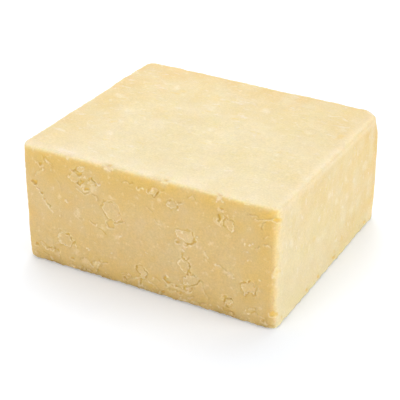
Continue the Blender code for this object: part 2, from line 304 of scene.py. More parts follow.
@dataclass(frozen=True)
class Plate(Tear):
    """Plate of curd that has come away at its opening and lips out on the far side."""

    # Way that it opens in degrees, how deep it dips there and how high it lips on the far side.
    opening: float
    dip: float = 0.60
    lip: float = 0.30
    # How much of the gap goes on round the closed side, and how pale the plate is.
    loose: float = 0.25
    paleness: float = 0.40

    # Distances from the outline, less than 0 inside it, widths and heights. The rest are shares.
    FRAY = 0.60
    LOOSE = 0.20
    WALL = (-0.20, 0.25)
    GAP_AT = 0.20
    GAP_WIDTH = 0.24
    GAP_DEPTH = 0.62
    GAP_SIDE = (0.35, 0.80)
    # Painted shade in the gap.
    GAP_BROKEN = 0.20
    GAP_PAINTED_SHADE = 0.15
    RIM_AT = -0.24
    RIM_WIDTH = 0.26
    RIM_RISE = 0.14
    RIM_WHOLE = 0.90
    RIM_OPEN = 0.55
    FAR_RIM_AT = 0.66
    FAR_RIM_WIDTH = 0.22
    FAR_RIM = 0.60
    INSIDE_PALE = 0.30
    SHALLOWER = 0.85
    UNEVEN = 0.5
    TILTED = 1.2

    def mark(self, spots: Spots) -> Mark:
        """Tilt of the plate, the gap along its opening and its pale rim.

        Args:
            spots: Spots on the side.

        Returns:
            The plate's mark.
        """
        places = spots.places
        away = self.distance(places) + self.FRAY * spots.fray
        angle = math.radians(self.opening)
        offset = places - self.middle
        along = (offset[:, 0] * math.cos(angle) + offset[:, 1] * math.sin(angle)) / self.span
        tilt = 0.5 + 0.5 * np.clip(along * self.TILTED, -1.0, 1.0)
        inside = 1.0 - smooth_step(*self.WALL, away)
        open_side = smooth_step(*self.GAP_SIDE, self.toward(places, self.opening))
        gap = np.exp(-(((away - self.GAP_AT) / self.GAP_WIDTH) ** 2))
        gap = gap * (self.GAP_BROKEN + (1.0 - self.GAP_BROKEN) * spots.whole)
        loose = self.LOOSE + (1.0 - self.LOOSE) * self.loose
        gap = gap * (loose + (1.0 - loose) * open_side)
        rim = np.exp(-(((away - self.RIM_AT) / self.RIM_WIDTH) ** 2)) * (1.0 - self.RIM_OPEN * open_side)
        far_rim = np.exp(-(((away - self.FAR_RIM_AT) / self.FAR_RIM_WIDTH) ** 2))
        far_rim = self.FAR_RIM * far_rim * open_side
        rim = np.maximum(rim, far_rim) * (1.0 - (1.0 - self.RIM_WHOLE) * spots.whole)
        height = self.SHALLOWER * (self.lip - (self.lip + self.dip) * tilt) * inside
        height = height - self.GAP_DEPTH * gap + self.RIM_RISE * rim
        within = self.paleness * self.INSIDE_PALE * inside * (1.0 + self.UNEVEN * spots.fray)
        # The gap is golden and takes painted shade.
        return Mark(height, gap, np.maximum(within, rim) * (1.0 - gap), rim, self.GAP_PAINTED_SHADE * gap)


@dataclass(frozen=True)
class Pit(Tear):
    """Small hollow with steep walls, golden inside."""

    depth: float = 0.70
    gold: float = 0.85
    # Paleness of the rim, and the side in degrees where it lies. The rim is pale torn curd with a painted
    # highlight, on the side that faces the light.
    rim: float = 0.80
    lit_rim_side: float = 250.0

    FRAY = 0.26
    WALL = (-0.40, 0.12)
    SHALLOWER = 0.65
    # Painted shade on the walls.
    PAINTED_SHADE = 0.40
    RIM_AT = 0.32
    RIM_WIDTH = 0.26
    RIM_RISE = 0.10
    LIT_RIM_SIDE = (0.30, 0.85)

    def mark(self, spots: Spots) -> Mark:
        """Depth of the hollow, its gold and its pale rim.

        Args:
            spots: Spots on the side.

        Returns:
            The pit's mark.
        """
        away = self.distance(spots.places) + self.FRAY * spots.fray
        inside = 1.0 - smooth_step(*self.WALL, away)
        rim = np.exp(-(((away - self.RIM_AT) / self.RIM_WIDTH) ** 2))
        # The pale rim lies on the side towards the light: pale torn curd with a painted highlight.
        rim = rim * smooth_step(*self.LIT_RIM_SIDE, self.toward(spots.places, self.lit_rim_side))
        depth = self.SHALLOWER * self.depth * inside
        # The walls take painted shade.
        wall = inside * (1.0 - inside)
        return Mark(self.RIM_RISE * rim - depth, self.gold * inside, self.rim * rim, rim, self.PAINTED_SHADE * wall)


@dataclass(frozen=True)
class Chip(Tear):
    """Bit of pale curd that stands a little proud."""

    rise: float = 0.20
    pale: float = 0.88

    FRAY = 0.22
    WALL = (-0.22, 0.15)

    def mark(self, spots: Spots) -> Mark:
        """Height and paleness of the chip.

        Args:
            spots: Spots on the side.

        Returns:
            The chip's mark.
        """
        inside = 1.0 - smooth_step(*self.WALL, self.distance(spots.places) + self.FRAY * spots.fray)
        none = np.zeros(len(inside))
        return Mark(self.rise * inside, none, self.pale * inside, inside, none)


@dataclass(frozen=True)
class Stain(Tear):
    """Soft patch of another tint, hardly raised or sunk."""

    gold: float = 0.0
    pale: float = 0.0
    rise: float = 0.0

    FRAY = 0.65
    WALL = (-0.65, 0.35)
    STRONGEST = 1.3

    def mark(self, spots: Spots) -> Mark:
        """Tint of the patch, broken up and fading towards its outline.

        Args:
            spots: Spots on the side.

        Returns:
            The patch's mark.
        """
        inside = 1.0 - smooth_step(*self.WALL, self.distance(spots.places) + self.FRAY * spots.fray)
        tint = inside * np.clip(1.0 + self.FRAY * spots.fray, 0.0, self.STRONGEST)
        none = np.zeros(len(inside))
        return Mark(self.rise * inside, self.gold * tint, self.pale * tint, none, none)


@dataclass(frozen=True)
class Seam(Tear):
    """Line where two curds meet: a pale ridge with a golden crease beside it. Its outline is left open."""

    width: float = 0.27
    rise: float = 0.14
    pale: float = 0.75
    crease: float = 0.30
    gold: float = 0.60

    CREASE_AT = 0.50
    FRAY = 0.30
    REACH = 1.0
    REACH_SHARPNESS = 4
    STRONGER = 1.3
    # Painted shade in the crease.
    PAINTED_SHADE = 0.12
    RIDGE_BROKEN = 0.5
    CRUMBS = 0.7

    def mark(self, spots: Spots) -> Mark:
        """Ridge of the seam and the crease on its upper side.

        Args:
            spots: Spots on the side.

        Returns:
            The seam's mark.
        """
        points = np.array(self.outline)
        nearest = np.full(len(spots.places), np.inf)
        above = np.zeros(len(spots.places))
        for start, end in zip(points[:-1], points[1:]):
            gap, hand = stretch_gaps(spots.places, start, end)
            above = np.where(gap < nearest, hand, above)
            nearest = np.minimum(nearest, gap)
        strayed = nearest * above + self.FRAY * spots.fray
        ridge = np.exp(-((strayed / self.width) ** 2)) * (1.0 - self.RIDGE_BROKEN * spots.whole)
        crease = np.exp(-(((strayed - self.CREASE_AT) / self.width) ** 2)) * spots.whole
        close = np.exp(-((nearest / self.REACH) ** self.REACH_SHARPNESS))
        ridge, crease = ridge * close, crease * close
        height = self.rise * ridge - self.crease * crease
        pale = np.minimum(self.STRONGER * self.pale, 1.0) * ridge
        return Mark(height, self.gold * crease, pale, self.CRUMBS * ridge, self.PAINTED_SHADE * crease)


# Torn front: across is X, up is Z, bearings run from +X towards +Z. Places and sizes are in millimetres.
# A row of an oval gives its middle across and up, half its length, half its width and its turn in degrees.
# What follows is the tear's own: depth, gold and rim of a pit, or gold, pale and rise of a stain.
FRONT_PLATES = (
    Plate(((-16.9, 30.1), (-15.6, 31.4), (-13.6, 30.9), (-11.5, 30.7), (-10.4, 28.7), (-9.6, 25.6),
           (-11.2, 24), (-14.5, 25), (-17.3, 28.2)), 50, 0.8, 0.4, 0.5, 0.38),
    Plate(((-27.3, 40.3), (-26.3, 41.5), (-25, 42.2), (-23.8, 41.6), (-23.6, 40.5), (-24.8, 39.9),
           (-26.2, 39.9)), 250, 0.3, 0.2, 0.05, 0.55),
    Plate(((-29.9, 37.6), (-29.2, 38.5), (-28.2, 39), (-27.2, 38.7), (-26.4, 37.6), (-26.3, 36.4),
           (-26.9, 35.4), (-28.3, 35.1), (-29.3, 35.9), (-30, 36.8)), 40, 0.5, 0.3, 0.25, 0.7),
    Plate(((-22.8, 37.4), (-21.7, 37.9), (-20.4, 37.8), (-19.2, 37.1), (-19.6, 36.2), (-21.2, 36),
           (-22.6, 36.3)), 60, 0.35, 0.2, 0.25, 0.45),
    Plate(((-36, 12.5), (-35, 14.2), (-33.4, 13.7), (-31.8, 14), (-31, 12.8), (-29.9, 11.3),
           (-30.9, 8.9), (-32.8, 8.9), (-35.3, 9.9)), 50, 0.45, 0.3, 0.05, 0.15),
    Plate(((-40.4, 6.1), (-39.3, 6.7), (-38, 6.2), (-38.3, 5.2), (-39.8, 5)),
          90, 0.25, 0.2, 0.3, 0.75),
    Plate(((-3.6, 8.8), (-2.3, 9.7), (-1.2, 9.4), (-0.4, 8.5), (0.9, 8.2), (0.8, 7.2), (0.1, 6.2),
           (0, 5.2), (-1.3, 5), (-2.3, 5.2), (-2.4, 6.6), (-3.3, 7.8)), 95, 0.4, 0.3, 0.65, 0.65),
    Plate(((11.7, 27), (12, 28.2), (13.6, 28.5), (14.9, 27.9), (15.8, 28.6), (17.5, 28.4), (19.1, 27.2),
           (19.4, 26), (18.7, 24.9), (17.3, 23.9), (15.6, 24.4), (13.2, 25.4)),
          -20, 0.36, 0.28, 0.22, 0.7),
    Plate(((13, 15.8), (14.3, 17.2), (16, 16.8), (17.4, 16.1), (17.6, 14.2), (17.5, 12.8), (16, 12.3),
           (14, 13.4)), 0, 0.35, 0.25, 0.05, 0.15),
    Plate(((15.3, 10.4), (16.2, 11.3), (17.6, 12.4), (19.2, 12.2), (20.6, 11.4), (20.9, 10.4), (20.1, 9.4),
           (18.8, 8.3), (17.2, 7.7), (15.6, 7.9), (14.9, 9.1)), -20, 0.6, 0.35, 0.2, 0.35),
    Plate(((8.9, 36.3), (9.4, 37.6), (10.3, 38.4), (11.6, 37.9), (12.3, 36.8), (11.7, 35.8), (10.4, 35.2),
           (9.3, 35.8)), 60, 0.45, 0.25, 0.35, 0.65),
    Plate(((2.2, 39.4), (3, 40.6), (4.3, 41.2), (5.8, 40.6), (5, 39.3), (3.9, 38), (3, 38.7)),
          320, 0.35, 0.2, 0.2, 0.55),
    Plate(((30.3, 35.6), (31, 36.3), (32.3, 36.6), (33.6, 36), (34.2, 34.7), (33.9, 33.5), (32.8, 32.7),
           (31.5, 33.4), (30.6, 34.5)), 130, 0.45, 0.35, 0.1, 0.6),
    Plate(((37, 13.8), (37.1, 14.6), (38.8, 14.9), (39.4, 15.6), (40.5, 15.9), (41.3, 15), (42.3, 14.2),
           (42, 13), (42.1, 12), (41.5, 11.5), (40.4, 12), (39.4, 11.7), (38.4, 10.6), (37.9, 11.6),
           (37.3, 12.4)), 70, 0.4, 0.3, 0.6, 0.75),
    Plate(((30.9, 7.8), (31.6, 6.9), (32.8, 7.3), (34.2, 6.2), (33.2, 5.2), (31.8, 4.5), (30.7, 4.1),
           (31.2, 5.5)), 110, 0.3, 0.25, 0.15, 0.7),
)
FRONT_PITS = (
    Pit(((-46.4, 31.2), (-45.6, 31.8), (-44.6, 31.7), (-43.7, 32.5), (-43.5, 31.6), (-44, 30.6),
         (-45, 30.2), (-45.9, 30.6)), 0.95, 1, 0.35),
    Pit(((-27.6, 39.5), (-26.3, 39.2), (-24.4, 39.4), (-24.8, 38.4), (-25.8, 37.6), (-26.6, 38.2)),
        0.95, 1),
    Pit(((-27, 35.5), (-26.2, 35.9), (-25.2, 36.2), (-24.4, 37.1), (-23.4, 37.3), (-23.8, 36.4),
         (-24.8, 35.4), (-25.3, 34.4), (-26, 34.9)), 0.75, 0.9),
    Pit(((-38.3, 7.7), (-37.7, 7.5), (-37.2, 6.8), (-36.1, 6.8), (-35.9, 6), (-36.4, 5.3), (-37, 6),
         (-38, 6.3)), 0.8, 0.95),
    Pit(((-15.1, 22.8), (-14.3, 24.1), (-13, 24.3), (-12, 23.1), (-12.4, 21.8), (-13.8, 21.2),
         (-14.8, 21.7)), 0.6, 0.45, 0.8, 225),
    Pit(((-2, 4.9), (-1.2, 4.8), (-1.4, 3.6), (-1.6, 2.2), (-2.4, 1.8), (-2.3, 3.2)), 0.7, 1),
    Pit(((6.7, 8.1), (7.4, 8.9), (8.3, 8.5), (8.8, 7.6), (9.9, 6.6), (9.6, 5.9), (8.8, 6.4), (8.1, 7.2),
         (7.1, 7.5)), 0.85, 0.95),
    Pit(((14.6, 20.2), (15.2, 19.6), (15.3, 18.4), (16.2, 17.7), (16.9, 18.4), (17.4, 19.3), (17.3, 18),
         (16.3, 17.1), (15.2, 17.3), (14.3, 17.9), (14.7, 19)), 0.6, 0.9),
    Pit(((15, 7.4), (16.2, 7.3), (16, 6.3), (15.9, 5.4), (15.2, 5.5), (14.9, 6.4)), 0.65, 0.9),
    Pit(((17.9, 7.3), (18.9, 7.2), (18.8, 6.2), (17.9, 5.4), (16.8, 5.1), (17.2, 5.8), (17.9, 6.2)),
        0.6, 0.85),
    Pit(((27.8, 37.8), (29, 37.7), (29.1, 36.5), (28.9, 35.2), (27.9, 35), (28.2, 36.3)), 0.85, 0.95),
    Pit(((47.4, 40.6), (48.4, 41.5), (50.4, 41.6), (50.2, 40.8), (48.8, 40.3)), 0.8, 0.95),
)
FRONT_OVAL_PITS = tuple(Pit.oval(*row) for row in (
    (-41.7, 39.1, 0.75, 0.5, 80, 0.8, 0.95), (-42.1, 27.7, 0.7, 0.42, 10, 0.6),
    (-41.1, 25.7, 0.5, 0.42, 0, 0.65), (-40.6, 25, 0.35, 0.3, 0, 0.5),
    (-39.7, 24.15, 0.5, 0.32, -10, 0.5), (-38.7, 23.4, 0.38, 0.3, -30, 0.45),
    (-28.3, 39.8, 0.55, 0.5, 0, 0.6), (-22.9, 33.9, 1.25, 0.62, 10, 0.6),
    (-19.2, 36.5, 0.42, 0.32, 20, 0.5), (-18, 37.8, 0.42, 0.34, 0, 0.55),
    (-40.8, 6.2, 0.8, 0.5, 55, 0.7), (-42.7, 6.8, 0.7, 0.32, -35, 0.5),
    (-11.9, 24, 0.42, 0.28, 0, 0.55), (12.3, 6.3, 0.65, 0.4, -20, 0.5),
    (13, 23.4, 0.85, 0.6, 30, 0.6, 0.75), (16.6, 23.2, 1.1, 0.35, 0, 0.35, 0.6),
    (18.2, 24, 0.5, 0.32, 30, 0.4), (29.3, 40.1, 0.85, 0.5, 10, 0.5, 0.7),
    (31, 37.2, 0.75, 0.4, -25, 0.65), (32.2, 2.9, 1.9, 0.95, 0, 0.55, 0.55, 0.2),
    (48.6, 6.4, 1.3, 1.1, 30, 0.5, 0.8), (-1.9, 39.7, 0.7, 0.4, 60, 0.4, 0.7),
    (1.6, 40, 0.9, 0.32, 75, 0.35, 0.7), (-22, 4.7, 0.95, 0.42, -60, 0.5),
    (-26.1, 2.6, 0.7, 0.45, -40, 0.45, 0.65), (45.6, 2.5, 0.9, 0.6, 0, 0.45, 0.65),
    (-30.7, 12.5, 0.7, 0.35, -60, 0.45), (38.1, 15.4, 0.75, 0.3, 20, 0.45),
))
# A row of a seam gives its paleness, the depth and the gold of its crease, and then its points.
FRONT_SEAMS = tuple(Seam(tuple(row[3:]), pale=row[0], crease=row[1], gold=row[2]) for row in (
    (0.25, 0.3, 0.6, (-41.2, 42.6), (-40.6, 41.4), (-40.2, 40.2)),
    (0.7, 0.3, 0.6, (-39.7, 41.4), (-38.5, 40.7), (-37.2, 40.2)),
    (0.6, 0.3, 0.6, (-38.4, 39.9), (-38, 39.2), (-37.3, 38.9)),
    (0.75, 0.1, 0.1, (-44.2, 40), (-43.5, 39.4), (-42.9, 39.5)),
    (0.3, 0.3, 0.35, (-44.3, 34), (-43, 35.6), (-41.6, 36.8)),
    (0.8, 0.3, 0.55, (-40.6, 24), (-39.6, 23.1), (-38.6, 22.2), (-37.9, 21.2)),
    (0.3, 0.3, 0.8, (-35.3, 9.2), (-36.2, 9), (-37, 8.5)),
    (0.8, 0.3, 0.6, (-43.9, 7.6), (-42.7, 7.3), (-41.8, 6.4)),
    (0.9, 0.3, 0.3, (-37.4, 5.3), (-36.4, 4.5), (-36, 3.4)),
    (0.8, 0.3, 0.35, (-30.9, 12), (-29.8, 11.2), (-28.6, 9.8)),
    (0.55, 0.08, 0.1, (-28.2, 24.3), (-28, 22.8), (-26.6, 21.4)),
    (0.45, 0.08, 0.1, (-26.9, 25.4), (-26.2, 24), (-26.4, 22.6)),
    (0.85, 0.3, 0.35, (-22.1, 21.5), (-21.1, 20.8), (-20.1, 20.5), (-19.5, 21)),
    (0.75, 0.3, 0.15, (-27.2, 33), (-25.4, 31.9), (-24, 31.6), (-22.6, 32.3), (-21.4, 32.9)),
    (0.55, 0.3, 0.1, (-20.8, 32.4), (-19.7, 31.9), (-18.8, 31)),
    (0.45, 0.3, 0.8, (-18, 19.3), (-17, 18.4), (-16.3, 18.2)),
    (0.7, 0.3, 0.2, (-26.3, 5), (-24.6, 5.7), (-22.7, 5.4)),
    (0.85, 0.3, 0.1, (-21.2, 5.3), (-20, 5.9), (-19.2, 6)),
    (0.95, 0.3, 0.7, (-18.9, 5.6), (-18.4, 6.3), (-18.5, 7), (-17.8, 7.3)),
    (0.75, 0.3, 0.2, (-18.6, 5.6), (-19.3, 4.6), (-19.8, 4)),
    (0.9, 0.3, 0.25, (-13, 24.5), (-12.2, 24.4), (-11, 23.7), (-9.9, 24.4), (-8.3, 24.9)),
    (0.7, 0.3, 0.1, (-15.3, 21.3), (-14.9, 20.9), (-14.2, 20.8)),
    (0.6, 0.3, 0.5, (-8.1, 40.1), (-7.3, 40.5), (-6.5, 40.3), (-5.2, 40.4), (-4.6, 40.5)),
    (0.55, 0.3, 0.7, (5, 38.8), (5.7, 39.8), (6.4, 40.4), (7.3, 40.6)),
    (0.55, 0.3, 0.4, (12.5, 37.4), (13.4, 37.6), (14.3, 37.8)),
    (0.5, 0.1, 0.2, (3.9, 29.4), (5, 28.6), (5.6, 27.9), (6.8, 28.2)),
    (0.45, 0.12, 0.3, (1.3, 33), (2.2, 32.4), (2.9, 31.4)), (0.5, 0.1, 0.1, (5.9, 27.1), (6.6, 26.5)),
    (0.7, 0.1, 0.1, (1.3, 5), (3, 4), (4.9, 2.5)),
    (0.6, 0.1, 0.2, (-6.9, 3), (-5.4, 3.6), (-3.4, 4.3)),
    (0.7, 0.15, 0.2, (10.3, 5.6), (12, 5.2), (13.6, 5.5), (14.7, 5)),
    (0.8, 0.15, 0.2, (10, 6.7), (10.9, 6.8), (11.6, 6.3)),
    (0.8, 0.05, 0.1, (12, 22.4), (12.1, 23.6), (12.6, 24.5)),
    (0.45, 0.12, 0.15, (22, 9.9), (22.7, 8.3), (23.4, 6.8), (24.2, 5.2)),
    (0.85, 0.08, 0.1, (26.6, 36.1), (26.6, 34.8), (27.8, 34.2), (29.2, 33.9)),
    (0.75, 0.1, 0.2, (28.3, 39.3), (28.9, 38.7), (30.2, 38.7), (30.9, 39.3)),
    (0.55, 0.1, 0.2, (30.1, 37.9), (31, 38.2), (31.9, 37.4)),
    (0.85, 0.3, 0.5, (41, 39), (42.4, 39.3), (43.6, 39.7), (45.1, 40.3), (47.2, 40.8)),
    (0.45, 0.3, 0.3, (39.4, 40.5), (40.4, 40.8), (41.6, 40.5)),
    (0.7, 0.3, 0.2, (45.1, 30.9), (46, 31.3), (46.8, 31)),
    (0.55, 0.3, 0.1, (45.3, 33.7), (45.9, 34.6)),
    (0.45, 0.3, 0.3, (44.2, 36.9), (44.3, 38.2), (44.8, 38.9)),
    (0.5, 0.3, 0.1, (42.1, 28.9), (42.9, 29.4)),
    (0.9, 0.3, 0.2, (27.2, 19.1), (28, 18.5), (28.8, 18.9), (29.5, 18.4)),
    (0.75, 0.3, 0.2, (30.8, 17.6), (31.8, 16.8), (32.6, 17.3)),
    (0.75, 0.3, 0.2, (32, 16.2), (33.1, 16.6), (33.7, 15.5), (34.3, 15.8)),
    (0.5, 0.08, 0.1, (23.1, 22.8), (23.9, 22), (24.5, 20.8)),
    (0.4, 0.08, 0.1, (23.6, 19.8), (24.6, 19)),
    (0.7, 0.05, 0.1, (30.3, 3.9), (31.4, 4.3)), (0.9, 0.05, 0.1, (38.5, 11.3), (38.3, 10.5)),
    (0.8, 0.05, 0.1, (42, 11.7), (42.4, 10.8)),
    (0.6, 0.3, 0.5, (17.2, 41), (18.2, 41.5), (19.3, 40.9)),
    (0.3, 0.06, 0.1, (-36.2, 34.8), (-34.6, 33.2), (-34, 31.4)),
    (0.6, 0.15, 0.2, (47.9, 19.8), (48.3, 21.8), (49.2, 23.4), (50.3, 24.4)),
    (0.55, 0.05, 0.1, (-34.4, 21.3), (-34.5, 20)),
))
FRONT_CHIPS = tuple(Chip.oval(*row) for row in (
    (-41, 37.2, 0.75, 0.35, 40), (-37.6, 37.9, 0.5, 0.35, 50), (-43.6, 28.9, 0.75, 0.35, -45),
    (-42.1, 26.4, 0.6, 0.45, 40), (-31.5, 27, 0.95, 0.5, -50), (-23.5, 38.2, 0.6, 0.4, 30),
    (-18, 36.9, 0.7, 0.5, 0), (-24, 34.6, 0.45, 0.3, 30), (-23.3, 10.4, 0.75, 0.35, -50),
    (-32.3, 13.4, 0.6, 0.35, 10), (-9.7, 19.2, 0.8, 0.45, 60), (-0.6, 39.8, 0.85, 0.4, 0),
    (3.9, 38.6, 0.45, 0.35, 60), (12.9, 35.6, 0.45, 0.28, 30), (8.7, 9.1, 0.65, 0.42, -40),
    (7.4, 18.6, 0.3, 0.25, 0), (0.3, 15.9, 0.35, 0.2, 30), (1.2, 15.7, 0.3, 0.2, 0),
    (9.4, 28.4, 0.45, 0.3, 0), (20.5, 27.3, 0.4, 0.3, 0), (15.3, 21.3, 0.7, 0.4, -30),
    (16.8, 6.6, 0.55, 0.45, 0), (16.8, 5.3, 0.35, 0.25, 20), (14.2, 7.3, 0.7, 0.3, 20),
    (37.65, 29.4, 0.8, 0.38, 80), (39.6, 29.8, 0.45, 0.3, 60), (40.5, 30.4, 0.32, 0.22, 0),
    (38.9, 26.9, 0.55, 0.28, -15), (39.4, 23.6, 0.35, 0.22, 70), (43.5, 17.8, 0.35, 0.3, 0),
    (24.9, 32.6, 0.32, 0.22, 60), (24.1, 31.8, 0.3, 0.18, 60), (33.8, 15.5, 0.5, 0.3, 60),
    (-14, 11.4, 0.55, 0.3, 30), (13.4, 9, 0.35, 0.25, 0), (-14.3, 43.6, 1.3, 0.75, -20),
    (-12.6, 44.1, 0.8, 0.5, 10), (7.6, 43.8, 1.4, 0.65, -15), (28.1, 43.5, 0.9, 0.9, 0),
    (27.2, 42.3, 0.5, 0.35, 40), (29.4, 42.6, 0.6, 0.35, -30), (-30.2, 44, 0.9, 0.45, 0),
    (38.2, 43.9, 0.9, 0.45, 0),
))
FRONT_STAINS = tuple(Stain.oval(*row) for row in (
    (2.7, 42.9, 1.7, 0.9, 15, 0.45), (6.2, 41.8, 0.9, 0.7, 60, 0.35), (46.8, 42.8, 1.6, 0.9, 45, 0.4),
    (-28.1, 40.8, 0.9, 0.8, 0, 0.35), (2.1, 3, 2.2, 1, -10, 0.35, 0, -0.15),
    (-27.2, 23.6, 1.9, 1.5, 60, 0, 0.45), (-34.4, 28, 1.3, 0.7, 70, 0, 0.45),
    (-17, 20.2, 1.3, 0.8, 0, 0, 0.45), (-17.6, 17.2, 1.2, 0.8, 0, 0, 0.35),
    (-20.3, 34.7, 1.7, 1.2, 20, 0, 0.4), (-10.9, 18.6, 1.7, 0.9, 30, 0, 0.45),
    (-12.6, 33.1, 1.7, 0.6, 0, 0, 0.35), (-28.5, 8.4, 1.4, 1, 0, 0, 0.4),
    (-20.3, 5, 1.4, 0.9, 30, 0, 0.5), (-37.9, 4.6, 1.6, 0.9, -20, 0, 0.4),
    (-24.6, 4.8, 1.8, 0.8, 10, 0, 0.45), (5.8, 37.1, 0.9, 0.8, 0, 0, 0.5),
    (-2.9, 35.7, 1.1, 0.5, -10, 0, 0.45), (6.2, 28.4, 1.9, 1, 0, 0, 0.25),
    (-5.2, 3.6, 1.9, 1, 20, 0, 0.3), (23.8, 21.7, 1.1, 0.8, -50, 0, 0.5),
    (32.6, 16.6, 2, 1.2, -20, 0, 0.35), (29.6, 38.9, 1.2, 0.6, 0, 0, 0.45),
    (29.8, 35.4, 0.9, 0.8, 0, 0, 0.45), (25.8, 26.6, 1.2, 0.9, 30, 0, 0.3),
    (11.5, 14.8, 0.9, 0.8, 0, 0, 0.25), (14.6, 21.2, 1.6, 0.8, 0, 0, 0.4),
    (22.9, 8.6, 0.8, 2, -25, 0, 0.3), (43, 39.7, 2.2, 0.6, 20, 0, 0.35),
    (49.2, 22, 1.3, 2.4, -20, 0, 0.4, 0.3),
))
# Cut top: across is X, up is Y.
TOP_STAINS = tuple(Stain.oval(*row) for row in (
    (-26.6, 25.6, 2.3, 1.1, 115, 0, 0.95, 0.12), (-24.9, 21.3, 1.6, 0.7, -15, 0.55, 0, -0.15),
    (-23, 23.9, 1.2, 1, 0, 0.35), (-21.4, 21.4, 1.2, 1, 0, 0, 0.55),
    (-5.9, 14.6, 2, 1.2, 110, 0, 0.65), (-6, 12.3, 1.2, 0.5, 0, 0.35, 0, -0.08),
    (4, 12.8, 1.5, 0.8, -20, 0, 0.45), (5.3, 11.2, 1, 0.6, -20, 0.3, 0, -0.08),
    (12.3, 23, 2.8, 1.4, 110, 0, 0.6), (33.9, 13.4, 1.8, 1.3, 150, 0, 0.6),
    (43.6, 22.6, 1.9, 1, 110, 0, 0.65), (44.8, 16, 2.7, 1.5, 95, 0.35),
    (43.2, 15.3, 0.9, 0.5, 100, 0, 0.7), (-31.5, -12.9, 2.1, 0.6, 70, 0.45, 0, -0.12),
    (-29, -11.2, 2, 0.9, 150, 0, 0.55), (-41.6, 8, 2.6, 1.5, -10, 0, 0.6),
    (-42.6, 5.9, 1.8, 0.6, -10, 0.25), (6.4, -10.8, 1.8, 0.9, 115, 0, 0.75),
    (2.5, -1.6, 2, 1, 130, 0, 0.6), (31.8, -5.8, 1.6, 0.9, 100, 0.35),
    (32.1, -8.6, 1.2, 0.8, 0, 0, 0.7), (11.4, 8.4, 1.2, 0.6, 100, 0, 0.7),
    (-31.8, -1.6, 2.2, 1.6, 40, 0, 0.5), (-27.3, -21.8, 2.4, 0.9, 120, 0, 0.5),
    (17.6, -13.6, 0.9, 0.6, 120, 0, 0.6), (30.3, 23.8, 1.6, 0.8, 100, 0, 0.45),
    (-1.6, -38.4, 2.2, 1.2, 30, 0, 0.5), (-14.2, -43.2, 1.1, 0.8, 0, 0.45),
    (7.9, -43.1, 1.2, 0.8, 0, 0.45), (28, -43.4, 1.4, 0.8, 0, 0.45),
))
# Cut right end: across is Y, up is Z.
RIGHT_STAINS = tuple(Stain.oval(*row) for row in (
    (-34.1, 28.6, 2, 1.3, 110, 0, 0.65), (-34, 29.8, 0.9, 0.3, -35, 0.25, 0, -0.1),
    (-41.4, 27.4, 1.6, 0.9, -20, 0, 0.45), (-28, 21.4, 2.2, 1, -30, 0, 0.4),
    (-3.6, 31.9, 1.9, 1.2, -35, 0, 0.7), (-0.3, 30.9, 1.3, 0.7, -20, 0.4, 0, -0.12),
    (3, 26.2, 1.9, 1.2, -25, 0, 0.5), (5, 25.3, 0.7, 0.4, 0, 0.4, 0, -0.12),
    (11.3, 31, 1.9, 0.9, -50, 0, 0.6), (12.6, 23.2, 2.3, 1.2, -50, 0, 0.55),
    (-15.3, 20.2, 1.6, 0.9, 40, 0.4, 0, -0.1), (-11.8, 18.2, 2.6, 1.4, -30, 0, 0.6),
    (-7.6, 17.6, 1.8, 1.2, -30, 0, 0.45), (18.6, 15.6, 1.9, 1.4, 0, 0, 0.45),
    (29.6, 28.6, 3.2, 2, -30, 0, 0.5), (14.4, 36.4, 1.4, 0.7, -30, 0, 0.45),
    (5.8, 39, 1.3, 0.8, 0, 0.3), (3.8, 4.9, 1.3, 0.8, -25, 0.6, 0, -0.15),
    (3.4, 6.2, 1.2, 0.5, -20, 0, 0.8), (1, 4.5, 0.8, 0.5, 30, 0.6),
    (10.4, 7.4, 1.8, 1.2, 20, 0.45), (-43.4, 41, 1.6, 0.7, -25, 0.9, 0, -0.12),
    (-42.8, 22.2, 1.4, 0.6, -20, 0.6, 0, -0.08), (-43.4, 6.2, 1.6, 1, -25, 0.85, 0, -0.1),
))
RIGHT_PITS = tuple(Pit.oval(*row) for row in (
    (-20, 2.5, 1.2, 0.8, -40, 0.35, 0.8, 0.3), (-10, 2.3, 1.5, 0.8, -30, 0.35, 0.7, 0.2),
    (3.4, 2.7, 1.5, 0.8, -25, 0.45, 0.85, 0.4), (-40.2, 3.2, 1, 0.7, -60, 0.3, 0.6, 0.2),
    (32.6, 2.7, 1.8, 0.7, -20, 0.32, 0.7, 0.2),
))


@dataclass(frozen=True)
class DrawnOval:
    """What one kind of oval tear is drawn from. A pair of numbers is a range."""

    kind: type[Tear]
    half_long: Place
    # Its width for each unit of its length.
    narrowing: Place
    # Ranges of its first own fields, and plain values of the next ones.
    drawn: tuple[Place, ...] = ()
    fixed: tuple[float, ...] = ()
    # Whether its place is drawn before its length.
    place_first: bool = False
    turn: Place = (0.0, 180.0)

    def tear(self, draws: np.random.Generator, reach: float, band: Place) -> Tear:
        """Draw one tear.

        Args:
            draws: Source of the draws.
            reach: Farthest that it may be from the middle of the side.
            band: Heights that it may be at.

        Returns:
            The tear.
        """
        limits = [(-reach, reach), band]
        limits.insert(len(limits) if self.place_first else 0, self.half_long)
        first, second, third = (draws.uniform(*pair) for pair in limits)
        across, up, long = (first, second, third) if self.place_first else (second, third, first)
        short = long * draws.uniform(*self.narrowing)
        own = [draws.uniform(*pair) for pair in (self.turn, *self.drawn)]
        return self.kind.oval(across, up, long, short, *own, *self.fixed)


